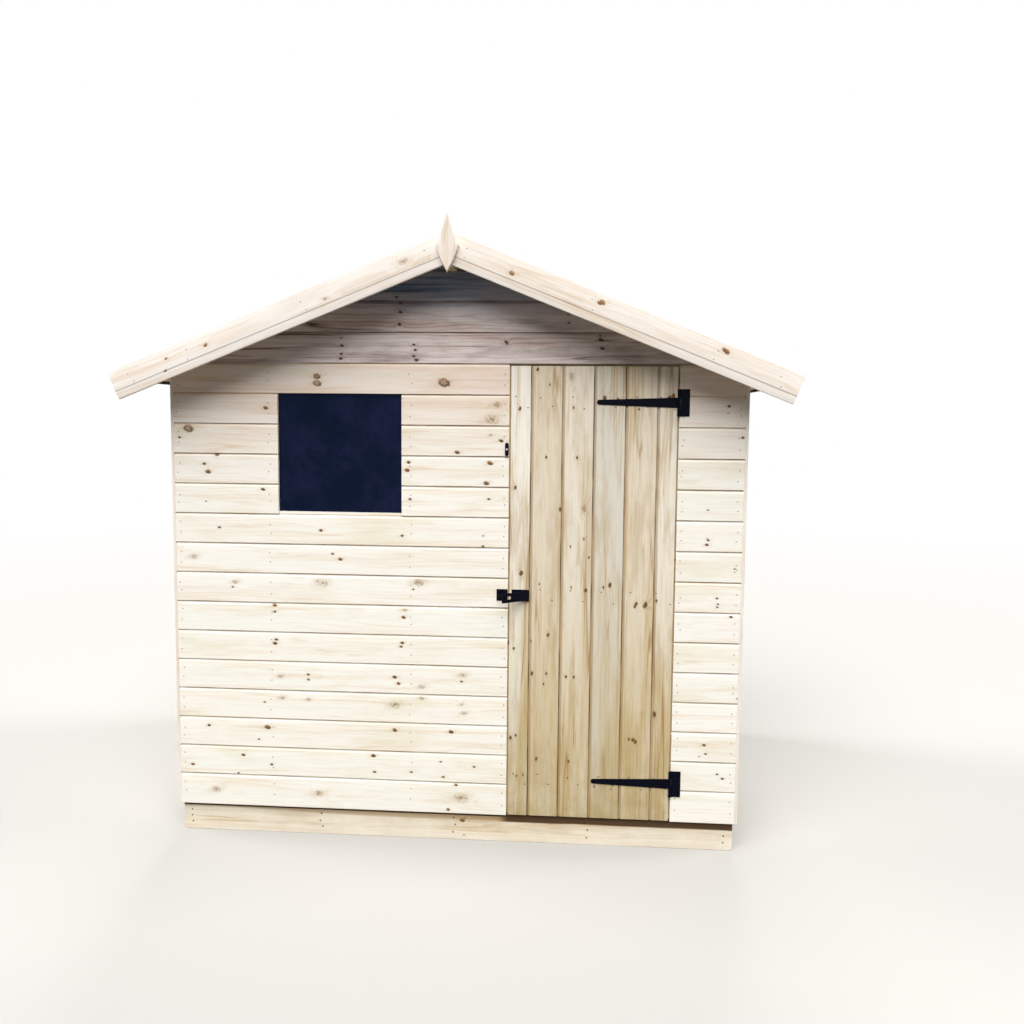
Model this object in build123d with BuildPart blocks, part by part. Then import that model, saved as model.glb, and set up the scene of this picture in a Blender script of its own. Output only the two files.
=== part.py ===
from build123d import *
import math
import os

os.makedirs("parts", exist_ok=True)

# A garden shed with a gable front, clad in shiplap boards on a timber frame.
# X runs across the front, the front faces -Y, Z is up. The origin is on the ground,
# under the middle of the shed. Lengths are in millimetres.

# Body, from cladding face to cladding face
body_width = 2164
body_depth = 1524
wall_courses = 15

# Shiplap cladding
cladding_thickness = 16
board_cover = 115
scoop_height = 11
scoop_depth = 5.5
scoop_sagitta = 1.5
board_lip = 10
board_tongue = 10

# Floor
joist_count = 5
joist_width = 44
joist_height = 115
rim_thickness = 20
rim_end_inset = 3
deck_thickness = 16
cladding_lap = 20

# Wall frame
stud_width = 45
stud_depth = 38
back_stud_count = 4
side_stud_count = 3

# Window, in the middle of the wall on the latch side of the door
window_width = 477
window_sill_course = 10
window_head_course = 14
pane_thickness = 4
pane_lap = 12
bead_width = 15
bead_depth = 15

# Doorway and door
hinge_side_width = 243
door_full_boards = 4
door_board_cover = 117
door_edge_board = 74
door_board_thickness = 11
door_side_gap = 6
door_head_gap = 8
door_foot_rise = 4
door_stop_cover = 15
door_frame_gap = 5
ledge_height = 70
ledge_thickness = 22
top_ledge_drop = 140
foot_ledge_rise = 130
brace_width = 70
brace_end_inset = 20

# Corner strips
strip_width = 45
strip_thickness = 12

# Roof
roof_pitch = 21.8
eaves_overhang = 160
gable_overhang = 150
roof_board_thickness = 12
felt_thickness = 3
felt_turn_down = 24
ridge_beam_width = 28
ridge_beam_depth = 95
purlin_width = 28
purlin_depth = 44
purlin_place = 570
rafter_depth = 45
notch_clearance = 1

# Bargeboards and finials
barge_width = 105
barge_thickness = 16
barge_rise = 6
barge_end_cover = 8
barge_strip_width = 26
barge_scoop_width = 6
barge_scoop_depth = 3
barge_scoop_sagitta = 0.8
finial_height = 206
finial_width = 82
finial_thickness = 16
finial_tip_rise = 60
finial_shoulder_drop = 112
finial_upper_hollow = 1
finial_lower_bulge = 3
finial_chamfer = 4

# Tee hinges
hinge_pin_radius = 3
hinge_pin_clearance = 0.08
hinge_barrel_radius = 5.5
hinge_metal = 2.5
hinge_strap_length = 300
hinge_strap_root_width = 38
hinge_strap_tip_width = 18
hinge_plate_height = 100
hinge_plate_width = 34
hinge_knuckle_gap = 1

# Hasp and staple
hasp_height = 976
hasp_plate_from_edge = 8
hasp_plate_length = 58
hasp_plate_height = 43
hasp_metal = 2
hasp_pin_radius = 2
hasp_pin_clearance = 0.08
hasp_barrel_radius = 4.5
hasp_strap_length = 122
hasp_strap_height = 36
hasp_corner_radius = 2
hasp_root_lap = 4
hasp_knuckle_height = 20
hasp_knuckle_gap = 0.6
hasp_slot_length = 34
hasp_slot_height = 12
hasp_open_angle = 40
staple_plate_width = 42
staple_plate_height = 44
staple_plate_inset = 1
staple_bar = 6
staple_span = 18
staple_reach = 24
staple_bend_radius = 6

# Turn button
button_height_above_sill = 247
button_from_opening = 8
button_length = 50
button_width = 14
button_metal = 2.5
button_stand_off = 5
button_boss_radius = 6
button_screw_radius = 2.2
button_head_radius = 4.5
button_head_height = 2
button_head_taper = 20
button_clearance = 0.3

# Levels and faces that follow from the sizes above
deck_top = joist_height + deck_thickness
cladding_foot = deck_top - cladding_lap
first_joint = cladding_foot + board_lip
half_width = body_width / 2
half_depth = body_depth / 2
inner_half_width = half_width - cladding_thickness
inner_half_depth = half_depth - cladding_thickness
rim_half_width = half_width - rim_end_inset
frame_half_width = inner_half_width - stud_depth
frame_half_depth = inner_half_depth - stud_depth
wall_head = first_joint + wall_courses * board_cover
window_bottom = first_joint + window_sill_course * board_cover + board_tongue
window_top = first_joint + window_head_course * board_cover
door_width = door_full_boards * door_board_cover + 2 * door_edge_board
opening_right = half_width - hinge_side_width
door_right = opening_right - door_side_gap
door_left = door_right - door_width
opening_left = door_left - door_side_gap
latch_side_width = opening_left + half_width
window_left = -half_width + (latch_side_width - window_width) / 2
window_right = window_left + window_width
door_foot = cladding_foot + door_foot_rise
door_head = wall_head - door_head_gap
front_face = -half_depth
door_back = front_face + door_board_thickness

pitch = math.radians(roof_pitch)
apex_under = wall_head + half_width * math.tan(pitch)
slope_length = (half_width + eaves_overhang) / math.cos(pitch)
roof_half_length = half_depth + gable_overhang
barge_top = roof_board_thickness + felt_thickness + barge_rise
barge_apex = apex_under + barge_top / math.cos(pitch)


def joint_height(course):
    """Height of the joint under a course, counted from the lowest board."""
    return first_joint + course * board_cover


def roof_underside(x):
    """Height of the underside of the roof boards at a distance from the middle."""
    return apex_under - abs(x) * math.tan(pitch)


def slope_point(along, above):
    """Point on the right slope: along it from the ridge, and above the underside."""
    x = along * math.cos(pitch) + above * math.sin(pitch)
    z = apex_under - along * math.sin(pitch) + above * math.cos(pitch)
    return (x, z)


def finish(piece, name):
    """Label a finished piece and write it."""
    piece.part.label = name
    export_step(piece.part, f"parts/{name}.step")
    return piece.part


def block(x_range, y_range, z_range):
    """Add a square-cut timber to the open part."""
    with BuildSketch(Plane.XY.offset(z_range[0])) as section:
        with Locations(((x_range[0] + x_range[1]) / 2, (y_range[0] + y_range[1]) / 2)):
            Rectangle(x_range[1] - x_range[0], y_range[1] - y_range[0])
    extrude(section.sketch, amount=z_range[1] - z_range[0])


def shiplap_outline(low, high):
    """Section of a clad wall: x runs inwards from the face, y is the height."""
    course_count = math.ceil((high - first_joint) / board_cover)
    joints = [joint_height(course) for course in range(course_count + 1)]
    joints = [height for height in joints if low + scoop_height < height <= high]
    corner = (0, low)
    Line((cladding_thickness, low), corner)
    for height in joints:
        scoop_start = (0, height - scoop_height)
        scoop_end = (scoop_depth, height)
        Line(corner, scoop_start)
        SagittaArc(scoop_start, scoop_end, -scoop_sagitta)
        corner = scoop_end
        if height < high:
            Line(scoop_end, (0, height))
            corner = (0, height)
    if corner[1] < high:
        Line(corner, (0, high))
        corner = (0, high)
    Line(corner, (cladding_thickness, high))
    Line((cladding_thickness, high), (cladding_thickness, low))


def clad_panel(plane, low, high, length):
    """Add a stretch of shiplap wall, extruded along its plane's normal."""
    with BuildSketch(plane) as section:
        with BuildLine():
            shiplap_outline(low, high)
        make_face()
    extrude(section.sketch, amount=length)


def front_plane(x):
    return Plane(origin=(x, front_face, 0), x_dir=(0, 1, 0), z_dir=(1, 0, 0))


def back_plane(x):
    return Plane(origin=(x, half_depth, 0), x_dir=(0, -1, 0), z_dir=(-1, 0, 0))


def side_plane(side):
    """Plane for a side wall: -1 is the left wall, 1 the right wall."""
    start = -side * inner_half_depth
    return Plane(origin=(side * half_width, start, 0), x_dir=(-side, 0, 0), z_dir=(0, side, 0))


def layer_outline(bottom, top, along):
    """Front view of a layer of the right slope, mitred at the ridge."""
    inner = (0, apex_under + bottom / math.cos(pitch))
    outer = (0, apex_under + top / math.cos(pitch))
    Polyline(inner, slope_point(along, bottom), slope_point(along, top), outer, close=True)


def purlin_section(margin):
    """Front view of the right purlin, under the roof boards."""
    start = purlin_place - purlin_width / 2 - margin
    end = purlin_place + purlin_width / 2 + margin
    foot = -purlin_depth - margin
    corners = [slope_point(start, 0), slope_point(end, 0)]
    corners += [slope_point(end, foot), slope_point(start, foot)]
    Polyline(corners, close=True)


def ridge_section(margin):
    """Front view of the ridge beam, its top bevelled to both slopes."""
    side = ridge_beam_width / 2 + margin
    foot = apex_under - ridge_beam_depth - margin
    corners = [(0, apex_under), (side, roof_underside(side)), (side, foot)]
    corners += [(-side, foot), (-side, roof_underside(side))]
    Polyline(corners, close=True)


# Floor joists, front to back, inside the two rims
with BuildPart() as joists:
    joist_step = (2 * inner_half_width - joist_width) / (joist_count - 1)
    joist_length = 2 * (inner_half_depth - rim_thickness)
    with BuildSketch(Plane.XY):
        with GridLocations(joist_step, 0, joist_count, 1):
            Rectangle(joist_width, joist_length)
    extrude(amount=joist_height)
finish(joists, "floor_joists")

# Floor rims, nailed across the ends of the joists and under the side walls' boards
for name, side in (("front_floor_rim", -1), ("back_floor_rim", 1)):
    with BuildPart() as rim:
        rim_faces = sorted((side * inner_half_depth, side * (inner_half_depth - rim_thickness)))
        block((-rim_half_width, rim_half_width), rim_faces, (0, cladding_foot))
    finish(rim, name)

# Floor deck
with BuildPart() as deck:
    deck_x = (-inner_half_width, inner_half_width)
    block(deck_x, (-inner_half_depth, inner_half_depth), (joist_height, deck_top))
finish(deck, "floor_deck")

# Front wall below the window, with the tongue that shows as the window's sill
with BuildPart() as front_lower:
    sill_line = joint_height(window_sill_course)
    clad_panel(front_plane(-half_width), cladding_foot, sill_line, latch_side_width)
    tongue_y = (front_face + scoop_depth, -inner_half_depth)
    block((window_left, window_right), tongue_y, (sill_line, window_bottom))
finish(front_lower, "front_wall_lower")

# Front wall on both sides of the window, over it, and on the hinge side of the door
front_panels = (
    ("front_wall_window_left", -half_width, window_left, window_sill_course, window_head_course),
    ("front_wall_window_right", window_right, opening_left, window_sill_course, window_head_course),
    ("front_wall_head", -half_width, opening_left, window_head_course, wall_courses),
)
for name, left, right, low_course, high_course in front_panels:
    with BuildPart() as panel:
        low = joint_height(low_course)
        clad_panel(front_plane(left), low, joint_height(high_course), right - left)
    finish(panel, name)

with BuildPart() as hinge_side:
    clad_panel(front_plane(opening_right), cladding_foot, wall_head, hinge_side_width)
finish(hinge_side, "front_wall_hinge_side")

# Back wall
with BuildPart() as back_wall:
    clad_panel(back_plane(half_width), cladding_foot, wall_head, body_width)
finish(back_wall, "back_wall")

# Gables, cut to the roof's slopes and notched for the ridge beam and the purlins
for name, plane in (("front_gable", front_plane(-half_width)), ("back_gable", back_plane(half_width))):
    with BuildPart() as gable:
        clad_panel(plane, wall_head, apex_under, body_width)
        with BuildSketch(Plane.XZ):
            with BuildLine():
                Polyline(
                    (-half_width, wall_head),
                    (half_width, wall_head),
                    (0, apex_under),
                    close=True,
                )
            make_face()
            with BuildLine():
                ridge_section(notch_clearance)
            make_face(mode=Mode.SUBTRACT)
            with BuildLine() as notch:
                purlin_section(notch_clearance)
            make_face(mode=Mode.SUBTRACT)
            mirror(make_face(notch.edges(), mode=Mode.PRIVATE), about=Plane.YZ, mode=Mode.SUBTRACT)
        extrude(amount=half_depth, both=True, mode=Mode.INTERSECT)
    finish(gable, name)

# Side walls
for name, side in (("left_wall", -1), ("right_wall", 1)):
    with BuildPart() as side_wall:
        clad_panel(side_plane(side), cladding_foot, wall_head, 2 * inner_half_depth)
    finish(side_wall, name)

# Frame of the front wall: studs at the corners, beside the window and beside the door
rail_top = deck_top + stud_width
head_rail_foot = wall_head - stud_width
pane_left = window_left - pane_lap
pane_right = window_right + pane_lap
pane_bottom = window_bottom - pane_lap
pane_top = window_top + pane_lap
jamb_left = door_left + door_stop_cover
jamb_right = door_right - door_stop_cover
front_frame_y = (-inner_half_depth, -frame_half_depth)
with BuildPart() as front_studs:
    stud_starts = (
        -inner_half_width,
        pane_left - stud_width,
        pane_right,
        jamb_left - stud_width,
        jamb_right,
        inner_half_width - stud_width,
    )
    for start in stud_starts:
        block((start, start + stud_width), front_frame_y, (rail_top, head_rail_foot))
finish(front_studs, "front_wall_studs")

with BuildPart() as front_rails:
    full_width = (-inner_half_width, inner_half_width)
    block((-inner_half_width, jamb_left), front_frame_y, (deck_top, rail_top))
    block((jamb_right, inner_half_width), front_frame_y, (deck_top, rail_top))
    block(full_width, front_frame_y, (head_rail_foot, wall_head))
    block((pane_left, pane_right), front_frame_y, (pane_bottom - stud_width, pane_bottom))
    block((pane_left, pane_right), front_frame_y, (pane_top, pane_top + stud_width))
finish(front_rails, "front_wall_rails")

# Window pane behind the cladding, and the beads that hold it
with BuildPart() as pane:
    pane_back = -inner_half_depth + pane_thickness
    block((pane_left, pane_right), (-inner_half_depth, pane_back), (pane_bottom, pane_top))
finish(pane, "window_pane")

with BuildPart() as beads:
    bead_plane = Plane(origin=(0, pane_back, 0), x_dir=(1, 0, 0), z_dir=(0, -1, 0))
    with BuildSketch(bead_plane):
        with Locations(((pane_left + pane_right) / 2, (pane_bottom + pane_top) / 2)):
            bead_outer_width = pane_right - pane_left
            bead_outer_height = pane_top - pane_bottom
            Rectangle(bead_outer_width, bead_outer_height)
            Rectangle(
                bead_outer_width - 2 * bead_width,
                bead_outer_height - 2 * bead_width,
                mode=Mode.SUBTRACT,
            )
    extrude(amount=-bead_depth)
finish(beads, "window_beads")

# Frame of the back wall
back_frame_y = (frame_half_depth, inner_half_depth)
with BuildPart() as back_studs:
    back_step = (2 * inner_half_width - stud_width) / (back_stud_count - 1)
    for index in range(back_stud_count):
        start = -inner_half_width + index * back_step
        block((start, start + stud_width), back_frame_y, (rail_top, head_rail_foot))
finish(back_studs, "back_wall_studs")

with BuildPart() as back_rails:
    block(full_width, back_frame_y, (deck_top, rail_top))
    block(full_width, back_frame_y, (head_rail_foot, wall_head))
finish(back_rails, "back_wall_rails")

# Frames of the side walls: the top plates are bevelled and carry the roof boards
side_plate_foot = wall_head - stud_width + (half_width - inner_half_width) * math.tan(pitch)
with BuildPart() as side_studs:
    side_step = (2 * frame_half_depth - stud_width) / (side_stud_count - 1)
    for side in (-1, 1):
        stud_x = sorted((side * inner_half_width, side * frame_half_width))
        for index in range(side_stud_count):
            start = -frame_half_depth + index * side_step
            block(stud_x, (start, start + stud_width), (rail_top, side_plate_foot))
finish(side_studs, "side_wall_studs")

with BuildPart() as side_rails:
    for side in (-1, 1):
        rail_x = sorted((side * inner_half_width, side * frame_half_width))
        block(rail_x, (-frame_half_depth, frame_half_depth), (deck_top, rail_top))
        with BuildSketch(Plane.XZ):
            with BuildLine():
                Polyline(
                    (side * inner_half_width, side_plate_foot),
                    (side * inner_half_width, roof_underside(inner_half_width)),
                    (side * frame_half_width, roof_underside(frame_half_width)),
                    (side * frame_half_width, side_plate_foot),
                    close=True,
                )
            make_face()
        extrude(amount=frame_half_depth, both=True)
finish(side_rails, "side_wall_rails")

# Corner strips on the side walls, flush with the front and back cladding
with BuildPart() as corner_strips:
    strip_top = roof_underside(half_width + strip_thickness)
    for side in (-1, 1):
        strip_x = sorted((side * half_width, side * (half_width + strip_thickness)))
        for end in (-1, 1):
            strip_y = sorted((end * half_depth, end * (half_depth - strip_width)))
            block(strip_x, strip_y, (cladding_foot, strip_top))
finish(corner_strips, "corner_strips")

# Rafters on the inner faces of the gables, cut to sit on the head rails
with BuildPart() as rafters:
    rafter_top = -purlin_depth / math.cos(pitch)
    rafter_foot = -(purlin_depth + rafter_depth) / math.cos(pitch)
    beam_side = ridge_beam_width / 2
    seat_outer = (apex_under + rafter_top - wall_head) / math.tan(pitch)
    seat_inner = (apex_under + rafter_foot - wall_head) / math.tan(pitch)
    for end in (-1, 1):
        rafter_plane = Plane.XZ.offset(-end * frame_half_depth)
        for side in (-1, 1):
            with BuildSketch(rafter_plane):
                with BuildLine():
                    Polyline(
                        (side * beam_side, roof_underside(beam_side) + rafter_top),
                        (side * seat_outer, wall_head),
                        (side * seat_inner, wall_head),
                        (side * beam_side, roof_underside(beam_side) + rafter_foot),
                        close=True,
                    )
                make_face()
            extrude(amount=-end * stud_depth)
finish(rafters, "gable_rafters")

# Ridge beam and purlins, from bargeboard to bargeboard
with BuildPart() as ridge_beam:
    with BuildSketch(Plane.XZ):
        with BuildLine():
            ridge_section(0)
        make_face()
    extrude(amount=roof_half_length, both=True)
finish(ridge_beam, "ridge_beam")

with BuildPart() as purlins:
    with BuildSketch(Plane.XZ):
        with BuildLine():
            purlin_section(0)
        make_face()
        mirror(about=Plane.YZ)
    extrude(amount=roof_half_length, both=True)
finish(purlins, "roof_purlins")

# Roof boards of each slope, mitred at the ridge
with BuildPart() as right_deck:
    with BuildSketch(Plane.XZ):
        with BuildLine():
            layer_outline(0, roof_board_thickness, slope_length)
        make_face()
    extrude(amount=roof_half_length, both=True)
finish(right_deck, "right_roof_boards")

with BuildPart() as left_deck:
    mirror(right_deck.part, about=Plane.YZ)
finish(left_deck, "left_roof_boards")

# Roof felt: one sheet over the ridge, turned down over both eaves
with BuildPart() as felt:
    felt_top = roof_board_thickness + felt_thickness
    felt_end = slope_length + felt_thickness
    felt_foot = roof_board_thickness - felt_turn_down
    with BuildSketch(Plane.XZ):
        with BuildLine():
            Polyline(
                (0, apex_under + roof_board_thickness / math.cos(pitch)),
                slope_point(slope_length, roof_board_thickness),
                slope_point(slope_length, felt_foot),
                slope_point(felt_end, felt_foot),
                slope_point(felt_end, felt_top),
                (0, apex_under + felt_top / math.cos(pitch)),
                close=True,
            )
        make_face()
        mirror(about=Plane.YZ)
    extrude(amount=roof_half_length, both=True)
finish(felt, "roof_felt")

# Bargeboards: a shiplap board with its thin edge down, mitred at the apex
with BuildPart() as barge:
    barge_end = slope_length + barge_end_cover
    end_x, end_z = slope_point(barge_end, 0)
    barge_plane = Plane(
        origin=(end_x, -roof_half_length, end_z),
        x_dir=(0, -1, 0),
        z_dir=(-math.cos(pitch), 0, math.sin(pitch)),
    )
    barge_foot = barge_top - barge_width
    strip_line = barge_foot + barge_strip_width
    strip_face = barge_thickness - barge_scoop_depth
    scoop_top = strip_line + barge_scoop_width
    with BuildSketch(barge_plane):
        with BuildLine():
            Line((0, barge_foot), (0, barge_top))
            Line((0, barge_top), (barge_thickness, barge_top))
            Line((barge_thickness, barge_top), (barge_thickness, scoop_top))
            SagittaArc((barge_thickness, scoop_top), (strip_face, strip_line), -barge_scoop_sagitta)
            Line((strip_face, strip_line), (strip_face, barge_foot))
            Line((strip_face, barge_foot), (0, barge_foot))
        make_face()
    extrude(amount=barge_end + barge_width)
    split(bisect_by=Plane.YZ, keep=Keep.TOP)
finish(barge, "front_right_bargeboard")

with BuildPart() as front_left_barge:
    mirror(barge.part, about=Plane.YZ)
finish(front_left_barge, "front_left_bargeboard")

with BuildPart() as back_right_barge:
    mirror(barge.part, about=Plane.XZ)
finish(back_right_barge, "back_right_bargeboard")

with BuildPart() as back_left_barge:
    mirror(back_right_barge.part, about=Plane.YZ)
finish(back_left_barge, "back_left_bargeboard")

# Finials over the joint of the bargeboards: a long kite with chamfered edges
with BuildPart() as finial:
    finial_back = roof_half_length + barge_thickness
    tip = (0, barge_apex + finial_tip_rise)
    shoulder_z = tip[1] - finial_shoulder_drop
    foot_z = tip[1] - finial_height
    half_finial = finial_width / 2
    with BuildSketch(Plane.XZ.offset(finial_back)):
        with BuildLine() as finial_half:
            SagittaArc(tip, (half_finial, shoulder_z), -finial_upper_hollow)
            SagittaArc((half_finial, shoulder_z), (0, foot_z), finial_lower_bulge)
            Line((0, foot_z), tip)
        make_face()
        mirror(about=Plane.YZ)
    extrude(amount=finial_thickness)
    chamfer(finial.faces().sort_by(Axis.Y)[0].edges(), finial_chamfer)
finish(finial, "front_finial")

with BuildPart() as back_finial:
    mirror(finial.part, about=Plane.XZ)
finish(back_finial, "back_finial")

# Door boards: upright shiplap, the two outer boards cut narrower
with BuildPart() as door_boards:
    with BuildSketch(Plane.XY.offset(door_foot)):
        with BuildLine():
            corner = (door_left, front_face)
            Line((door_left, door_back), corner)
            for index in range(door_full_boards + 1):
                joint_x = door_left + door_edge_board + index * door_board_cover
                scoop_start = (joint_x, front_face + scoop_depth)
                scoop_end = (joint_x + scoop_height, front_face)
                Line(corner, (joint_x, front_face))
                Line((joint_x, front_face), scoop_start)
                SagittaArc(scoop_start, scoop_end, scoop_sagitta)
                corner = scoop_end
            Line(corner, (door_right, front_face))
            Line((door_right, front_face), (door_right, door_back))
            Line((door_right, door_back), (door_left, door_back))
        make_face()
    extrude(amount=door_head - door_foot)
finish(door_boards, "door_boards")

# Ledges and braces on the back of the door, clear of the doorway's frame
ledge_left = jamb_left + door_frame_gap
ledge_right = jamb_right - door_frame_gap
ledge_back = door_back + ledge_thickness
ledge_centres = (deck_top + foot_ledge_rise, hasp_height, wall_head - top_ledge_drop)
with BuildPart() as ledges:
    for centre in ledge_centres:
        ledge_z = (centre - ledge_height / 2, centre + ledge_height / 2)
        block((ledge_left, ledge_right), (door_back, ledge_back), ledge_z)
finish(ledges, "door_ledges")

with BuildPart() as braces:
    for lower, upper in zip(ledge_centres, ledge_centres[1:]):
        start_z = lower + ledge_height / 2
        end_z = upper - ledge_height / 2
        start_x = ledge_right - brace_end_inset
        end_x = ledge_left + brace_end_inset
        run = start_x - end_x
        level_width = brace_width * math.hypot(run, end_z - start_z) / (end_z - start_z)
        with BuildSketch(Plane.XZ.offset(-door_back)):
            with BuildLine():
                Polyline(
                    (start_x, start_z),
                    (end_x + level_width, end_z),
                    (end_x, end_z),
                    (start_x - level_width, start_z),
                    close=True,
                )
            make_face()
        extrude(amount=-ledge_thickness)
finish(braces, "door_braces")

# Tee hinges: the strap turns between the two knuckles of its plate
hinge_x = door_right + door_side_gap / 2
hinge_y = front_face - hinge_barrel_radius
hinge_heights = (ledge_centres[0], ledge_centres[-1])
hinge_leaf_start = hinge_barrel_radius + hinge_knuckle_gap
hinge_leaf_y = (front_face - hinge_metal, front_face)
knuckle_half = hinge_strap_root_width / 2
with BuildPart() as hinge_straps:
    for height in hinge_heights:
        with BuildSketch(Plane.XZ.offset(-front_face)):
            with BuildLine():
                root_x = hinge_x - hinge_leaf_start
                tip_x = hinge_x - hinge_strap_length
                tip_half = hinge_strap_tip_width / 2
                Line((root_x, height + knuckle_half), (root_x, height - knuckle_half))
                Line((root_x, height - knuckle_half), (tip_x + tip_half, height - tip_half))
                ThreePointArc(
                    (tip_x + tip_half, height - tip_half),
                    (tip_x, height),
                    (tip_x + tip_half, height + tip_half),
                )
                Line((tip_x + tip_half, height + tip_half), (root_x, height + knuckle_half))
            make_face()
        extrude(amount=hinge_metal)
        knuckle_z = (height - knuckle_half, height + knuckle_half)
        block((hinge_x - hinge_leaf_start, hinge_x), hinge_leaf_y, knuckle_z)
        with BuildSketch(Plane.XY.offset(knuckle_z[0])):
            with Locations((hinge_x, hinge_y)):
                Circle(hinge_barrel_radius)
        extrude(amount=hinge_strap_root_width)
        with BuildSketch(Plane.XY.offset(knuckle_z[0])):
            with Locations((hinge_x, hinge_y)):
                Circle(hinge_pin_radius + hinge_pin_clearance)
        extrude(amount=hinge_strap_root_width, mode=Mode.SUBTRACT)
finish(hinge_straps, "hinge_straps")

with BuildPart() as hinge_plates:
    for height in hinge_heights:
        low = height - hinge_plate_height / 2
        high = height + hinge_plate_height / 2
        plate_x = (hinge_x + hinge_leaf_start, hinge_x + hinge_leaf_start + hinge_plate_width)
        block(plate_x, hinge_leaf_y, (low, high))
        inner_low = height - knuckle_half - hinge_knuckle_gap
        inner_high = height + knuckle_half + hinge_knuckle_gap
        for foot, top in ((low, inner_low), (inner_high, high)):
            block((hinge_x, plate_x[0]), hinge_leaf_y, (foot, top))
            with BuildSketch(Plane.XY.offset(foot)):
                with Locations((hinge_x, hinge_y)):
                    Circle(hinge_barrel_radius)
            extrude(amount=top - foot)
        with BuildSketch(Plane.XY.offset(low)):
            with Locations((hinge_x, hinge_y)):
                Circle(hinge_pin_radius)
        extrude(amount=hinge_plate_height)
finish(hinge_plates, "hinge_plates")

# Hasp: its plate and pin are on the door, and the strap swings over them
hasp_plate_left = door_left + hasp_plate_from_edge
hasp_x = hasp_plate_left + hasp_plate_length + hasp_barrel_radius
hasp_y = front_face - hasp_barrel_radius
hasp_knuckle_half = hasp_knuckle_height / 2
hasp_plate_y = (front_face - hasp_metal, front_face)
with BuildPart() as hasp_plate:
    low = hasp_height - hasp_plate_height / 2
    high = hasp_height + hasp_plate_height / 2
    plate_right = hasp_plate_left + hasp_plate_length - hasp_knuckle_gap
    block((hasp_plate_left, plate_right), hasp_plate_y, (low, high))
    inner_low = hasp_height - hasp_knuckle_half - hasp_knuckle_gap
    inner_high = hasp_height + hasp_knuckle_half + hasp_knuckle_gap
    for foot, top in ((low, inner_low), (inner_high, high)):
        block((plate_right, hasp_x), hasp_plate_y, (foot, top))
        with BuildSketch(Plane.XY.offset(foot)):
            with Locations((hasp_x, hasp_y)):
                Circle(hasp_barrel_radius)
        extrude(amount=top - foot)
    with BuildSketch(Plane.XY.offset(low)):
        with Locations((hasp_x, hasp_y)):
            Circle(hasp_pin_radius)
    extrude(amount=hasp_plate_height)
finish(hasp_plate, "hasp_plate")

# The strap stands ajar. In its own plane x runs along it from the pin and y is up.
staple_x = opening_left - staple_plate_inset - staple_plate_width / 2
slot_centre = hasp_x - staple_x
strap_turn = math.radians(hasp_open_angle)
strap_along = (-math.cos(strap_turn), -math.sin(strap_turn), 0)
strap_out = (math.sin(strap_turn), -math.cos(strap_turn), 0)
strap_plane = Plane(origin=(hasp_x, hasp_y, hasp_height), x_dir=strap_along, z_dir=strap_out)
with BuildPart() as hasp_strap:
    strap_back = hasp_barrel_radius - hasp_metal
    with BuildSketch(strap_plane.offset(strap_back)):
        strap_start = hasp_barrel_radius + hasp_knuckle_gap
        strap_flat = hasp_strap_length - strap_start
        with Locations((strap_start + strap_flat / 2, 0)):
            RectangleRounded(strap_flat, hasp_strap_height, hasp_corner_radius)
        strap_root = strap_start + hasp_root_lap
        with Locations((strap_root / 2, 0)):
            Rectangle(strap_root, hasp_knuckle_height)
        with Locations((slot_centre, 0)):
            SlotOverall(hasp_slot_length, hasp_slot_height, mode=Mode.SUBTRACT)
    extrude(amount=hasp_metal)
    with BuildSketch(Plane.XY.offset(hasp_height - hasp_knuckle_half)):
        with Locations((hasp_x, hasp_y)):
            Circle(hasp_barrel_radius)
    extrude(amount=hasp_knuckle_height)
    with BuildSketch(Plane.XY.offset(hasp_height - hasp_knuckle_half)):
        with Locations((hasp_x, hasp_y)):
            Circle(hasp_pin_radius + hasp_pin_clearance)
    extrude(amount=hasp_knuckle_height, mode=Mode.SUBTRACT)
finish(hasp_strap, "hasp_strap")

# Staple: a plate on the wall with a bent bar that the slot passes over
with BuildPart() as staple:
    staple_plate_x = (staple_x - staple_plate_width / 2, staple_x + staple_plate_width / 2)
    staple_low = hasp_height - staple_plate_height / 2
    block(staple_plate_x, hasp_plate_y, (staple_low, staple_low + staple_plate_height))
    with BuildLine():
        FilletPolyline(
            (staple_x - staple_span / 2, front_face - hasp_metal / 2, hasp_height),
            (staple_x - staple_span / 2, front_face - staple_reach + staple_bar / 2, hasp_height),
            (staple_x + staple_span / 2, front_face - staple_reach + staple_bar / 2, hasp_height),
            (staple_x + staple_span / 2, front_face - hasp_metal / 2, hasp_height),
            radius=staple_bend_radius,
        )
    bar_start = (staple_x - staple_span / 2, front_face - hasp_metal / 2, hasp_height)
    with BuildSketch(Plane(origin=bar_start, x_dir=(1, 0, 0), z_dir=(0, -1, 0))):
        Circle(staple_bar / 2)
    sweep()
finish(staple, "hasp_staple")

# Turn button on the wall beside the door, with the screw that it turns on
button_x = opening_left - button_from_opening
button_z = window_bottom + button_height_above_sill
button_back = front_face - button_stand_off - button_clearance
with BuildPart() as button:
    with BuildSketch(Plane.XZ.offset(-button_back)):
        with Locations((button_x, button_z)):
            SlotOverall(button_length, button_width, rotation=90)
            Circle(button_screw_radius + button_clearance, mode=Mode.SUBTRACT)
    extrude(amount=button_metal)
finish(button, "turn_button")

with BuildPart() as button_screw:
    head_back = button_back - button_metal - button_clearance
    with BuildSketch(Plane.XZ.offset(-front_face)):
        with Locations((button_x, button_z)):
            Circle(button_boss_radius)
    extrude(amount=button_stand_off)
    with BuildSketch(Plane.XZ.offset(-front_face)):
        with Locations((button_x, button_z)):
            Circle(button_screw_radius)
    extrude(amount=front_face - head_back)
    with BuildSketch(Plane.XZ.offset(-head_back)):
        with Locations((button_x, button_z)):
            Circle(button_head_radius)
    extrude(amount=button_head_height, taper=button_head_taper)
finish(button_screw, "turn_button_screw")
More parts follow.
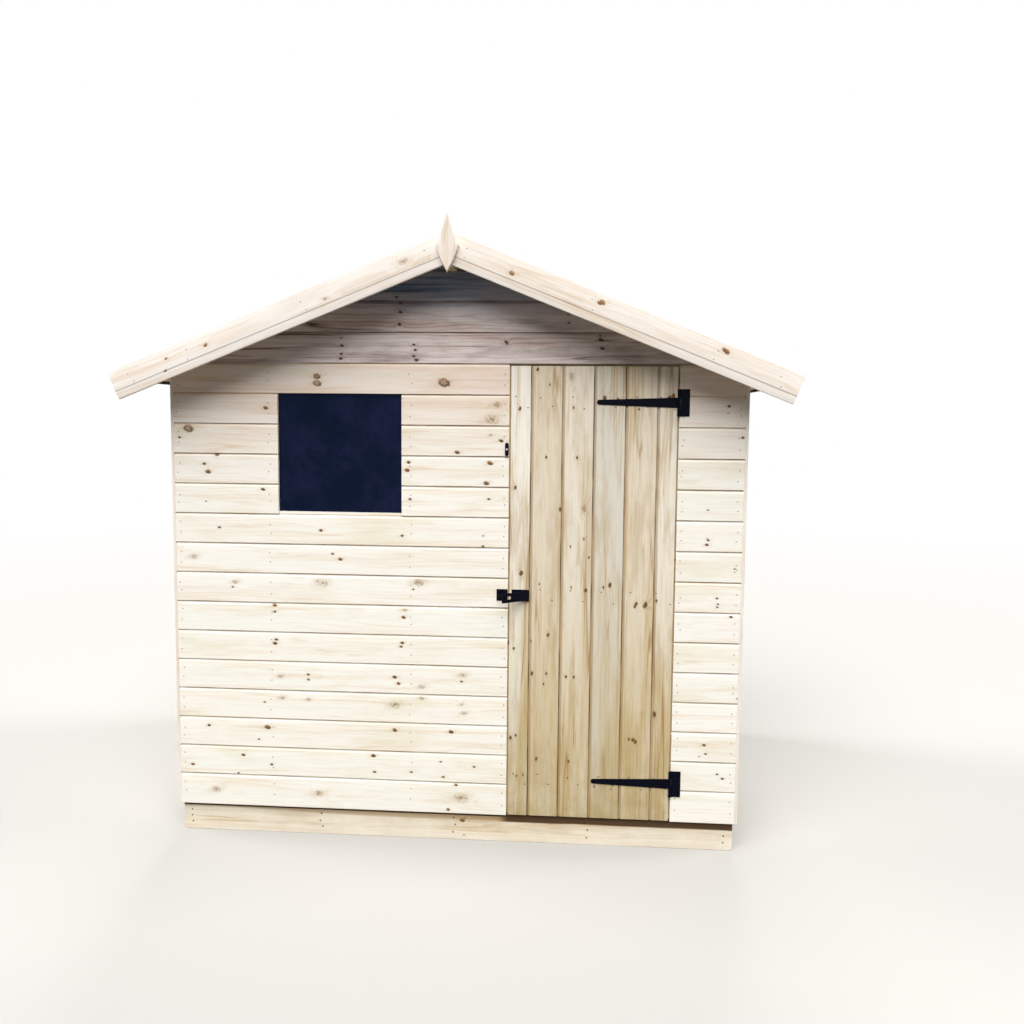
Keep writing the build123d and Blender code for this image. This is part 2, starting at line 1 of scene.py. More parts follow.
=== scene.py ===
# Wooden garden shed: the looks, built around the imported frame. Metres, the front faces -Y, Z is up.
import math
import bmesh
import bpy
import numpy as np
from mathutils import Matrix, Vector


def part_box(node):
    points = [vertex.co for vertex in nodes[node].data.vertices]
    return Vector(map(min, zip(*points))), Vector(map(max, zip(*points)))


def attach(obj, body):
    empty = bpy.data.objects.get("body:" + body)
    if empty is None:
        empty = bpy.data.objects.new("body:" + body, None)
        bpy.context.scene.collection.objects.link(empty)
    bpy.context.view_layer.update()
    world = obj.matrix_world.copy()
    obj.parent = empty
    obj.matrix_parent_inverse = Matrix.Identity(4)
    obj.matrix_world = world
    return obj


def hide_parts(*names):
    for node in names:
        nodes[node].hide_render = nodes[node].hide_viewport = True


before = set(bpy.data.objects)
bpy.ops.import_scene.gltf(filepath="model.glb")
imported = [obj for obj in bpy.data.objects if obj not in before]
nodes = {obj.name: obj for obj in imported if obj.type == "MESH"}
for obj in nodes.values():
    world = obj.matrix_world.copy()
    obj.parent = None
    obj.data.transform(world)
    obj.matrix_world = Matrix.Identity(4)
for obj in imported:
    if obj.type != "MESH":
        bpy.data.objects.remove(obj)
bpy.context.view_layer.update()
print("frame loaded:", len(nodes), "nodes")

# Sizes of a cladding board's section
shiplap = {
    "cover": 0.115,
    "thickness": 0.016,
    "lip": 0.010,
    "tongue": 0.0095,
    "scoopHeight": 0.011,
    "scoopDepth": 0.0055,
    "scoopSagitta": 0.0015,
    "edgeRound": 0.0011,
    "waver": 0.0005,
    "step": 0.085,
    "courses": 15,
    "endGap": 0.0001,
    "apexGap": 0.004,
}

# Sizes read from the frame
wallLow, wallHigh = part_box("front_wall_lower")
halfWidth, halfDepth = -wallLow.x, -wallLow.y
foot = wallLow.z
firstJoint = foot + shiplap["lip"]
courses = shiplap["courses"]
wallHead = firstJoint + courses * shiplap["cover"]
openingLeft = wallHigh.x
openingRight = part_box("front_wall_hinge_side")[0].x
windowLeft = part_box("front_wall_window_left")[1].x
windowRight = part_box("front_wall_window_right")[0].x
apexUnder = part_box("ridge_beam")[1].z
slope = (apexUnder - wallHead) / halfWidth
pitch = math.atan(slope)
cosPitch, sinPitch = math.cos(pitch), math.sin(pitch)
innerWidth = halfWidth - shiplap["thickness"]
innerDepth = halfDepth - shiplap["thickness"]
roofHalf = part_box("left_roof_boards")[1].y


# Shader helpers
def tone(code):
    # a web colour as the linear colour that nodes take
    parts = np.array([int(code[i : i + 2], 16) / 255 for i in (1, 3, 5)])
    linear = np.where(parts <= 0.04045, parts / 12.92, ((parts + 0.055) / 1.055) ** 2.4)
    return (*linear.tolist(), 1.0)


class Signal:
    # an output of a shader node, joined to others by plain sums
    def __init__(self, socket):
        self.socket, self.tree = socket, socket.id_data

    def calc(self, how, other=0.0):
        return read(self.tree, "Math", {0: self, 1: other}, operation=how)

    def __add__(self, other):
        return self.calc("ADD", other)

    def __sub__(self, other):
        return self.calc("SUBTRACT", other)

    def __rsub__(self, other):
        return read(self.tree, "Math", {0: other, 1: self}, operation="SUBTRACT")

    def __mul__(self, other):
        return self.calc("MULTIPLY", other)

    def __truediv__(self, other):
        return self.calc("DIVIDE", other)

    def __abs__(self):
        return self.calc("ABSOLUTE")

    def top(self, other):
        return self.calc("MAXIMUM", other)

    def vector(self, how, other=(0, 0, 0), output="Vector"):
        return read(self.tree, "VectorMath", {0: self, 1: other}, output, operation=how)

    def length(self):
        return self.vector("LENGTH", output="Value")

    def split(self):
        return [Signal(socket) for socket in node(self.tree, "SeparateXYZ", {0: self}).outputs]

    def ramp(self, low, high, outLow=0.0, outHigh=1.0, kind="LINEAR"):
        inputs = {0: self, 1: low, 2: high, 3: outLow, 4: outHigh}
        return read(self.tree, "MapRange", inputs, interpolation_type=kind)

    def smooth(self, low, high, outLow=0.0, outHigh=1.0):
        return self.ramp(low, high, outLow, outHigh, "SMOOTHSTEP")

    def noise(self, scale, detail, rough=0.5):
        # three scales stretch the noise along the axes
        if isinstance(scale, tuple):
            return self.vector("MULTIPLY", scale).noise(1.0, detail, rough)
        inputs = {"Vector": self, "Scale": scale, "Detail": detail, "Roughness": rough}
        return read(self.tree, "TexNoise", inputs, "Fac")

    def between(self, a, b):
        # the signal is the share of b, and colours may be web colours
        a, b = (tone(colour) if isinstance(colour, str) else colour for colour in (a, b))
        return read(self.tree, "Mix", {0: self, 6: a, 7: b}, 2, data_type="RGBA")


def fill(made, inputs):
    # a signal is linked to its socket, and any other value is set on it
    for key, value in inputs.items():
        if isinstance(value, Signal):
            made.id_data.links.new(value.socket, made.inputs[key])
        else:
            made.inputs[key].default_value = value


def node(tree, kind, inputs, **settings):
    made = tree.nodes.new("ShaderNode" + kind)
    for key, value in settings.items():
        setattr(made, key, value)
    fill(made, inputs)
    return made


def read(tree, kind, inputs, output=0, **settings):
    return Signal(node(tree, kind, inputs, **settings).outputs[output])


def attribute(tree, name, output="Vector"):
    return read(tree, "Attribute", {}, output, attribute_name=name)


def objectPlace(tree):
    return read(tree, "TexCoord", {}, "Object")


def join(*parts):
    return read(parts[0].tree, "CombineXYZ", dict(enumerate(parts)))


def newGroup(name, inputs, outputs):
    # all the sockets are plain numbers, and the inputs come with their usual values
    tree = bpy.data.node_groups.new(name, "ShaderNodeTree")
    for label, value in inputs.items():
        socket = tree.interface.new_socket(label, in_out="INPUT", socket_type="NodeSocketFloat")
        socket.default_value = value
    for label in outputs:
        tree.interface.new_socket(label, in_out="OUTPUT", socket_type="NodeSocketFloat")
    given, out = tree.nodes.new("NodeGroupInput"), tree.nodes.new("NodeGroupOutput")
    return tree, {socket.name: Signal(socket) for socket in given.outputs}, out


def useGroup(tree, group, inputs):
    made = node(tree, "Group", inputs, node_tree=group)
    return {socket.name: Signal(socket) for socket in made.outputs}


def bumpFrom(height, strength, distance, **settings):
    inputs = {"Height": height, "Strength": strength, "Distance": distance}
    return read(height.tree, "Bump", inputs, **settings)


def blankTree(owner, kind="OutputMaterial"):
    owner.use_nodes = True
    owner.node_tree.nodes.clear()
    return owner.node_tree, node(owner.node_tree, kind, {})


def newMaterial(name):
    material = bpy.data.materials.new(name)
    tree, out = blankTree(material)
    shader = node(tree, "BsdfPrincipled", {})
    fill(out, {0: Signal(shader.outputs[0])})
    return material, tree, shader


# how finely each noise of the wood runs along, across and into a board
grainScales = {
    "ragged": 95.0,
    "flecks": 340.0,
    "wander": (1.3, 7.0, 7.0),
    "veins": (0.9, 24.0, 24.0),
    "fibres": (9.0, 420.0, 420.0),
    "streaks": (1.4, 24.0, 24.0),
    "patches": (2.6, 12.0, 12.0),
}


# Growth rings, fibres and knots of a sawn board. The rings are the distance from a heart line that lies
# behind the board and wanders along it. Each knot lifts the ring field, so lines flow round it. A knot with
# a negative radius is a pale one: a thin broken ring with specks in it.
def buildWoodFigure():
    tree, given, out = newGroup(
        "woodFigure",
        {"Ring Width": 0.012, "Wander": 1.6, "Knot Size": 1.0},
        ("Lines", "Veins", "Fibres", "Streaks", "Patches", "Core", "Shade", "Rim", "Halo"),
    )
    place = attribute(tree, "grainPoint")
    seed = attribute(tree, "boardSeed", "Fac")
    moved = place.vector("ADD", join(seed * 37.0, seed * 11.0, seed * 5.0))
    spot = place.split()
    ragged = moved.noise(grainScales["ragged"], 3.0, 0.65)
    flecks = moved.noise(grainScales["flecks"], 1.0)
    lift, core, deepest, rim, halo = 0.0, 0.0, 0.0, 0.0, 0.0
    for label in ("knotA", "knotB", "knotC"):
        knot = attribute(tree, label).split()
        along, across = spot[0] - knot[0], spot[1] - knot[1]
        radius = abs(knot[2]) * given["Knot Size"]
        offMiddle = across / radius
        dark = knot[2].smooth(-0.0005, 0.0005)
        # reach is 0 at the middle of a slanted oval and 1 at its ragged edge
        reach = join(along * 0.76 + across * 0.25, across).length() / radius
        reach = (ragged - 0.5) * dark.smooth(0.0, 1.0, 1.0, 1.7) + reach
        lift = (reach * reach * -0.2).calc("EXPONENT") * 2.0 + lift
        # a dark knot is full to its edge; a larger one is paler in its middle
        paler = radius.smooth(0.007, 0.012, 0.0, 0.42) * reach.smooth(0.85, 0.35)
        full = reach.smooth(1.05, 0.75) * (dark - paler)
        specks = (ragged.smooth(0.5, 0.6) * reach.smooth(1.5, 0.6)).top(reach.smooth(0.45, 0.2))
        here = full.top(specks * dark.smooth(0.0, 1.0, 0.6, 0.0))
        # how dark a knot is comes from its place, and it is darker along its lower edge
        own = (knot[0] * 7.3 + knot[1] * 23.1).calc("FRACT")
        shade = own.smooth(0.0, 1.0, 0.25, 0.6) + offMiddle.smooth(0.6, -0.5, 0.0, 0.6)
        deepest = (here * (shade * flecks.smooth(0.35, 0.62, 0.7, 1.0))).top(deepest)
        core = here.top(core)
        edge = reach.smooth(1.25, 1.04) * reach.smooth(0.66, 0.98)
        edge = edge * (offMiddle.smooth(1.0, -0.6, 0.3, 1.0) * ragged.smooth(0.36, 0.58, 0.2, 1.0))
        rim = (edge * dark.smooth(0.0, 1.0, 0.3, 1.0)).top(rim)
        # the glow round a knot leans the other way and fades with the square of its spread
        spread = join(along * 0.4 + across * -0.35, across * 0.85).length() / radius
        spread = (spread + (ragged * 1.6 - 0.8)).top(0.0)
        halo = ((spread * spread * -0.9).calc("EXPONENT") * dark.smooth(0.0, 1.0, 1.0, 0.85)).top(halo)
    fromHeart, behind = spot[1] - (seed * 0.11 - 0.01), spot[2] + 0.03
    away = (fromHeart * fromHeart + behind * behind).calc("SQRT")
    wander = moved.noise(grainScales["wander"], 3.0, 0.55) * (given["Wander"] * 4.0)
    # late wood: a sharp outer edge and a soft inner one
    ringPlace = (away / given["Ring Width"] + wander + lift).calc("FRACT")
    lines = ringPlace.smooth(0.5, 0.93) * ringPlace.smooth(1.0, 0.95)
    # veins: thin contour lines of a stretched noise, where the streaks are strong
    offLine = abs(moved.noise(grainScales["veins"], 1.0) - 0.5)
    streaks = moved.noise(grainScales["streaks"], 4.0, 0.62)
    found = {
        "Lines": lines,
        "Veins": offLine.smooth(0.026, 0.004) * streaks.smooth(0.47, 0.6),
        "Fibres": moved.noise(grainScales["fibres"], 2.0),
        "Streaks": streaks,
        "Patches": moved.noise(grainScales["patches"], 5.0, 0.62),
        "Core": core,
        "Shade": deepest / core.top(0.001),
        "Rim": rim,
        "Halo": halo,
    }
    fill(out, found)
    return tree


# Where two boards meet: a dark line at the joint, partly dirt and partly painted shade under the lip,
# and a band in the scoop beside it, partly stain and partly painted shade of the scoop.
# The attribute holds the distance from a board's lip edge and from its scooped edge.
def buildSeamShade():
    tree, given, out = newGroup("seamShade", {"Line Width": 0.0016}, ("Line", "Band"))
    wide = given["Line Width"]
    fromLip, fromScoop, _ = attribute(tree, "seamPlace").split()
    onFace = fromScoop.smooth(-0.0012, 0.0)
    scoopLine = fromScoop.ramp(wide * 0.6, wide * 2.2, 1.0, 0.0) * onFace
    uneven = objectPlace(tree).noise(5.0, 3.0).smooth(0.38, 0.62, 0.3, 1.0)
    line = fromLip.ramp(0.0, wide, 1.0, 0.0).top(scoopLine) * uneven
    fill(out, {"Line": line, "Band": fromScoop.ramp(0.007, 0.014, 1.0, 0.0) * onFace})
    return tree


# Dirt splashed up from the ground, thinning out with height
def buildSplash():
    tree, given, out = newGroup("splash", {"Height": 0.25, "Amount": 0.4}, ("Mask",))
    place = objectPlace(tree)
    low = place.split()[2].ramp(0.0, given["Height"], 1.0, 0.0)
    mask = low * place.noise(9.0, 6.0, 0.65).smooth(0.25, 0.8)
    fill(out, {"Mask": (mask * given["Amount"]).calc("MINIMUM", 0.9)})
    return tree


woodFigure = buildWoodFigure()
splash = buildSplash()
seamShade = buildSeamShade()

# What a wood has if its own entry doesn't say otherwise. Line, vein, fibre, dirt, seam and band say how
# strong those are; ring is a growth ring's width, wander its waves, knots the size of the knots.
plainWood = {
    "line": 0.45, "vein": 0.3, "fibre": 0.2, "ring": 0.01, "wander": 1.5, "knots": 1.0,
    "haloShare": 0.42, "coreShare": 0.95, "rimShare": 0.9,
    "dirt": 0.0, "seam": 0.0, "seamWidth": 0.0022, "rough": 0.68, "gloss": 0.14, "relief": 0.0006,
}
# Tones of the boards, then of the marks on them. Height tone: colour, share, from and to height.
woods = {
    "shiplapPine": {
        "tones": ("#F7F3E9", "#F5F0E5", "#F3F0E5", "#F6F1E9"),
        "warm": "#EEE2CF", "cool": "#EAE9DC", "late": "#D4B68E",
        "halo": "#B6954E", "core": "#482005", "knotPale": "#A2662A", "rim": "#2C1502",
        "line": 0.22, "vein": 0.27, "ring": 0.013, "knots": 0.84,
        # towards the eaves the boards get darker and pinker: partly their own tone, partly painted shade
        # under the eaves
        "patch": ("#E6DCC2", 0.5), "heightTone": ("#D9B5A2", 0.5, 1.36, 1.86),
        "seam": 0.66, "band": 0.12, "seamTone": "#946420", "bandTone": "#EADBB8",
    },
    # the gable's wood: its greyer, pinker tones are partly painted shade under the roof's overhang, and its
    # height tone, blue grey at the apex, is painted shade
    "gablePineInShade": {
        "tones": ("#E6D8D4", "#DECCC6", "#E0D4D0", "#DACCC8"),
        "warm": "#C0A296", "cool": "#ADABB2", "late": "#57463E",
        "halo": "#6A5040", "core": "#3A2416", "knotPale": "#6A4630", "rim": "#1E120C",
        "line": 0.4, "vein": 0.85, "ring": 0.011,
        "patch": ("#8E7C76", 0.6), "heightTone": ("#4C6E94", 0.92, 2.0, 2.13),
        "seam": 0.75, "band": 0.2, "seamTone": "#4E3A2C", "bandTone": "#B9A296",
    },
    "doorPine": {
        "tones": ("#F5F0E3", "#E0D3BC", "#E9DECB", "#D9D3C4"),
        "warm": "#D2BC98", "cool": "#CFD0C8", "late": "#A38054",
        "halo": "#957044", "core": "#4E2C0C", "knotPale": "#94602A", "rim": "#2C1808",
        "line": 0.34, "vein": 0.55, "ring": 0.012, "knots": 1.05,
        "patch": ("#BCA682", 0.5), "heightTone": ("#B49C60", 0.66, 1.35, 0.3),
        "dirt": 0.8, "dirtHeight": 0.5, "dirtTone": "#94804C",
        "seam": 0.95, "band": 0.6, "seamTone": "#55381A", "bandTone": "#A88858",
    },
    "bargePine": {
        "tones": ("#F1EBE4", "#EDE5DC", "#F0E9E1", "#EDE2D6"),
        "warm": "#E4D2BC", "cool": "#E2DFD8", "late": "#C9AA84",
        "halo": "#C09E70", "core": "#6E4622", "knotPale": "#B88850", "rim": "#5A3A20",
        "line": 0.3, "vein": 0.25, "ring": 0.014, "patch": ("#E2D3C2", 0.45),
    },
    "rimPine": {
        "tones": ("#F0E4CE", "#EDDFC6", "#F1E6D2", "#ECDDC2"),
        "warm": "#DCC294", "cool": "#E0D8C2", "late": "#BE9A64",
        "halo": "#B48F5C", "core": "#4E2E14", "knotPale": "#94622C", "rim": "#2C1A0E",
        "line": 0.36, "vein": 0.4, "ring": 0.012, "patch": ("#D2BA92", 0.4),
        "dirt": 0.25, "dirtHeight": 0.2, "dirtTone": "#8E7348",
    },
    "framePine": {
        "tones": ("#E2CBA0", "#DCC294", "#E6D2AA", "#D9BF90"),
        "warm": "#CDA36C", "cool": "#D5C6A4", "late": "#B58C58",
        "halo": "#98672F", "core": "#4A2A14", "knotPale": "#845228", "rim": "#2E1A0D", "ring": 0.009,
    },
    "floorPine": {
        "tones": ("#DCC8A2", "#D3BF96", "#D8C8A2", "#DFCDAC"),
        "warm": "#BDA67C", "cool": "#C9C0A8", "late": "#AD8A55",
        "halo": "#8E6534", "core": "#462A14", "knotPale": "#7C5028", "rim": "#2A180C",
        "dirt": 0.5, "dirtHeight": 0.5, "dirtTone": "#85714E",
    },
    "roofPine": {
        "tones": ("#DEC89E", "#D8C094", "#E2D0A8", "#DAC49A"),
        "warm": "#C8A470", "cool": "#D2C6A6", "late": "#B48D58",
        "halo": "#95662F", "core": "#4A2A14", "knotPale": "#845228", "rim": "#2E1A0D",
    },
}
# The front rim: a band along its upper edge, partly stain and partly painted shade under the cladding, gets
# deeper from "from" to "full"; right of "to" the wood is dark brown, partly wet and partly painted shade
# under the door. A pale foot and a dark line under the cladding, which is painted shadow, run along all of
# it.
dampAndShade = {
    "from": -1.08, "full": -0.2, "to": 0.2, "thin": 0.019, "thick": 0.034, "deep": 0.033,
    "top": 0.111, "line": 0.0118, "paleFoot": 0.034,
    "stainAndShade": "#A8834C", "wetAndShade": "#3C240E", "paleTone": "#F6ECDA",
}


def rimStainsAndShade(tree):
    place = objectPlace(tree)
    x, y, z = place.split()
    edge = place.noise((6.0, 6.0, 30.0), 4.0) * 0.008
    below = edge + (dampAndShade["top"] - z)
    reachesTo = x.smooth(dampAndShade["from"], dampAndShade["full"], dampAndShade["thin"], dampAndShade["thick"])
    # a band along the upper edge: partly stain, partly painted shade under the cladding
    stainAndShadeShare = (below - reachesTo).smooth(0.006, -0.004, 0.0, 0.62)
    # dark brown under the door: partly wet wood, partly painted shade under the door
    wetAndShade = below.smooth(dampAndShade["deep"] + 0.006, dampAndShade["deep"]) * x.smooth(dampAndShade["to"] - 0.03, dampAndShade["to"] + 0.02)
    paleFoot = (edge + z).smooth(dampAndShade["paleFoot"] + 0.008, dampAndShade["paleFoot"], 0.0, 0.45)
    # a dark line right under the cladding: painted shadow
    footShadowLine = (dampAndShade["top"] - z).smooth(dampAndShade["line"] + 0.0015, dampAndShade["line"], 0.0, 0.9)
    # the stain and the damp, with their painted shade, belong to the front alone
    front = y.calc("LESS_THAN", 0.03 - innerDepth)
    wetAndFootShadow = (wetAndShade * front * 0.9).top(footShadowLine)
    return [(paleFoot, dampAndShade["paleTone"]), (stainAndShadeShare * front, dampAndShade["stainAndShade"]), (wetAndFootShadow, dampAndShade["wetAndShade"])]


def woodMaterial(name):
    look = {**plainWood, **woods[name]}
    material, tree, shader = newMaterial(name)
    sizes = {"Ring Width": look["ring"], "Wander": look["wander"], "Knot Size": look["knots"]}
    mark = useGroup(tree, woodFigure, sizes)
    streaks = mark["Streaks"]
    ramp = node(tree, "ValToRGB", {0: attribute(tree, "boardSeed", "Fac")})
    while len(ramp.color_ramp.elements) < len(look["tones"]):
        ramp.color_ramp.elements.new(0.5)
    for step, (element, code) in enumerate(zip(ramp.color_ramp.elements, look["tones"])):
        element.position = step / (len(look["tones"]) - 1)
        element.color = tone(code)
    # layers of colour, each with its share
    layers = [
        (streaks.smooth(0.46, 0.7, 0.0, 0.75), look["warm"]),
        (streaks.smooth(0.44, 0.26, 0.0, 0.8), look["cool"]),
    ]
    if "patch" in look:
        code, most = look["patch"]
        layers.append((mark["Patches"].smooth(0.48, 0.66, 0.0, most), code))
    vein = look["vein"]
    if "heightTone" in look:
        # a tone that grows with height: on the gable it is painted shade under the eaves, on the walls partly
        # painted shade, and a door gets tanner towards its foot
        code, most, start, end = look["heightTone"]
        height = objectPlace(tree).split()[2]
        share = height.smooth(start, end, 0.0, most) * streaks.smooth(0.35, 0.6, 0.55, 1.0)
        layers.append((share, code))
        vein = share * 0.6 + vein
    layers += [
        (mark["Lines"] * streaks.smooth(0.42, 0.68, look["line"] * 0.25, look["line"]), look["late"]),
        (mark["Veins"] * vein, look["late"]),
        (mark["Fibres"].smooth(0.5, 0.8, 0.0, look["fibre"]), look["late"]),
        (mark["Halo"] * look["haloShare"], look["halo"]),
        (mark["Core"] * look["coreShare"], mark["Shade"].between(look["knotPale"], look["core"])),
        (mark["Rim"] * look["rimShare"], look["rim"]),
    ]
    if look["dirt"]:
        dirt = useGroup(tree, splash, {"Height": look["dirtHeight"], "Amount": look["dirt"]})
        layers.append((dirt["Mask"], look["dirtTone"]))
    # joint lines and scoop bands: partly dirt and stain, partly painted shade
    if look["seam"]:
        seam = useGroup(tree, seamShade, {"Line Width": look["seamWidth"]})
        layers.append((seam["Band"] * look["band"], look["bandTone"]))
        layers.append((seam["Line"] * look["seam"], look["seamTone"]))
    # the front rim's stains and damp, with painted shade and a painted shadow line
    if name == "rimPine":
        layers += rimStainsAndShade(tree)
    colour = Signal(ramp.outputs[0])
    for share, over in layers:
        colour = share.between(colour, over)
    relief = mark["Rim"] * -0.6 + (mark["Fibres"] * 0.5 + mark["Lines"] * 0.4)
    bump = bumpFrom(relief, 0.35, look["relief"])
    rough, gloss = mark["Lines"] * -0.1 + look["rough"], look["gloss"]
    fill(shader, {"Base Color": colour, "Roughness": rough, "Normal": bump, "Specular IOR Level": gloss})
    return material


finishes = [woodMaterial(name) for name in woods]
shiplapPine, gablePineInShade, doorPine, bargePine, rimPine, framePine, floorPine, roofPine = finishes

metalLook = ("colour", "worn", "metallic", "rough", "grain", "gloss")
metals = {
    # the blue in both tones of the black steel is a painted reflection of the sky
    "japannedSteel": ("#030512", "#0C0E1C", 0.0, 0.4, 900.0, 0.06),
    # a pale screw head, partly bright steel and partly a painted highlight
    "brightScrewAndGlint": ("#B4AEA2", "#7C7468", 0.2, 0.5, 1200.0, 0.3),
    "zincNail": ("#A3988A", "#8A7C68", 0.1, 0.6, 1400.0, 0.2),
    "rustedNail": ("#3E2C20", "#6E4428", 0.1, 0.7, 1400.0, 0.2),
}


def metalMaterial(name):
    look = dict(zip(metalLook, metals[name]))
    material, tree, shader = newMaterial(name)
    place = objectPlace(tree)
    broad = place.noise(60.0, 4.0)
    inputs = {
        "Base Color": broad.smooth(0.58, 0.74, 0.0, 0.5).between(look["colour"], look["worn"]),
        "Roughness": broad * 0.25 + (look["rough"] - 0.12),
        "Metallic": look["metallic"],
        "Specular IOR Level": look["gloss"],
        "Normal": bumpFrom(place.noise(look["grain"], 2.0), 0.18, 0.0003),
    }
    fill(shader, inputs)
    return material


japannedSteel, brightScrewAndGlint, zincNail, rustedNail = map(metalMaterial, metals)

felt = {
    "low": "#2B322E", "high": "#4A534C", "bitumen": "#17191A", "grain": 620.0,
    "lapPlace": 0.56, "step": 0.0013, "thickness": 0.003, "turnDown": 0.024, "sinks": 0.00065, "rows": 46,
}


def feltMaterial():
    material, tree, shader = newMaterial("mineralFelt")
    place = objectPlace(tree)
    grit = node(tree, "TexVoronoi", {"Vector": place, "Scale": felt["grain"]}, feature="F1")
    gritTone = Signal(grit.outputs["Color"]).split()[0]
    colour = gritTone.between(felt["low"], felt["high"])
    colour = place.noise(3.5, 5.0).smooth(0.45, 0.75, 0.0, 0.45).between(colour, felt["bitumen"])
    bump = bumpFrom(Signal(grit.outputs["Distance"]), 0.6, 0.0008, invert=True)
    fill(shader, {"Base Color": colour, "Roughness": gritTone * 0.15 + 0.8, "Normal": bump})
    return material


# the pane is mostly opaque dark navy, painted shade that stands for the dark room behind the glass, with
# paler mottled patches over it
glass = {
    "low": "#080F22", "high": "#201F3E", "clear": 0.35, "gloss": 0.1, "bend": 1.45,
    "mirrorTone": (0.25, 0.45, 1.0, 1.0),
}


def glassMaterial():
    material, tree, shader = newMaterial("glazing")
    mottle = objectPlace(tree).noise(7.0, 6.0, 0.7)
    inputs = {
        "Base Color": mottle.smooth(0.4, 0.7).between(glass["low"], glass["high"]),
        "Roughness": mottle.smooth(0.4, 0.85, 0.03, 0.09),
        "Transmission Weight": glass["clear"],
        "Specular IOR Level": glass["gloss"],
        "Specular Tint": glass["mirrorTone"],
        "IOR": glass["bend"],
    }
    fill(shader, inputs)
    return material


mineralFelt, glazing = feltMaterial(), glassMaterial()
print("materials made")


# Mesh helpers
def arcPoints(start, end, sagitta, count):
    # circle through start and end whose middle stands off the chord by the sagitta, to its right side
    start, end = np.array(start, float), np.array(end, float)
    chord = end - start
    length = np.hypot(*chord)
    along = chord / length
    side = np.array([along[1], -along[0]]) * np.sign(sagitta)
    radius = (length**2 / 4 + sagitta**2) / (2 * abs(sagitta))
    centre = (start + end) / 2 - side * (radius - abs(sagitta))
    half = math.asin(length / 2 / radius)
    turn = np.linspace(-half, half, count)[:, None]
    return centre + radius * (np.cos(turn) * side + np.sin(turn) * along)


def roundCorner(corner, before, after, radius, count=4):
    # quarter turn between two edges that meet square at the corner
    corner, before, after = (np.array(p, float) for p in (corner, before, after))
    a = (before - corner) / np.hypot(*(before - corner))
    b = (after - corner) / np.hypot(*(after - corner))
    centre = corner + radius * (a + b)
    turn = np.linspace(0, math.pi / 2, count)[:, None]
    return centre - radius * (np.cos(turn) * b + np.sin(turn) * a)


def ringQuads(rings, sides):
    # the quads between neighbouring rings of points, and the two end caps
    i, j = np.meshgrid(np.arange(rings - 1), np.arange(sides), indexing="ij")
    k = (j + 1) % sides
    quads = np.stack([i * sides + j, i * sides + k, (i + 1) * sides + k, (i + 1) * sides + j], -1)
    return quads.reshape(-1, 4), [np.arange(sides)[::-1], (rings - 1) * sides + np.arange(sides)]


def sweptPiece(section, start, end, axes, rng, waver=0.0, step=shiplap["step"]):
    # P(u, v) = origin + (start(v) + u (end(v) - start(v))) along + h(v) up + (d(v) + waver(u)) inward
    origin, along, up, inward = (np.array(axis, float) for axis in axes)
    start = np.broadcast_to(start, len(section)).astype(float)
    end = np.broadcast_to(end, len(section)).astype(float)
    count = max(2, int(math.ceil(float(np.max(end - start)) / step)) + 1)
    u = np.linspace(0, 1, count)[:, None]
    run = start + u * (end - start)
    phase, pace = rng.uniform(0, 6.28), rng.uniform(1.5, 3.5)
    depth = section[:, 0] + waver * (0.5 + 0.5 * np.sin(run * pace + phase))
    height = section[:, 1] + 0.4 * waver * np.sin(run * pace * 1.7 + phase)
    points = origin + run[..., None] * along + height[..., None] * up + depth[..., None] * inward
    grain = np.stack([run, height - section[:, 1].min(), depth], -1)
    return outward(points.reshape(-1, 3), *ringQuads(count, len(section)), grain.reshape(-1, 3))


def markSeams(board, section, low, high, lipped=True, scooped=True):
    # how far each point lies from the joint at the board's lip and from the joint at its scoop
    across = np.tile(section[:, 1], len(board["points"]) // len(section))
    if lipped:
        board["seam"][:, 0] = across - low
    if scooped:
        board["seam"][:, 1] = high - across
    return board


def outward(points, quads, caps, grain):
    # the volume under the faces is positive when they point out
    fans = [np.stack([np.full(len(c) - 2, c[0]), c[1:-1], c[2:]], -1) for c in caps]
    triangles = np.concatenate([quads[:, [0, 1, 2]], quads[:, [0, 2, 3]]] + fans)
    a, b, c = (points[triangles[:, n]] for n in range(3))
    if np.einsum("ij,ij->i", a, np.cross(b, c)).sum() < 0:
        quads, caps = quads[:, ::-1], [cap[::-1] for cap in caps]
    seam = np.ones((len(points), 3))
    return {"points": points, "quads": quads, "caps": caps, "grain": grain, "seam": seam}


def whorls(rng, length, width, spacing=0.55, size=(0.003, 0.008), start=0.0):
    # knots stand in whorls: one to three at nearly the same place along a board
    rows, place = [], start + rng.uniform(0.1, spacing)
    while place < start + length:
        for _ in range(rng.integers(1, 4)):
            along, across = place + rng.normal(0, 0.006), rng.uniform(0.12, 0.85) * width
            rows.append((along, across, rng.uniform(*size)))
        place += spacing * rng.uniform(0.6, 1.5)
    return np.array(rows).reshape(-1, 3)


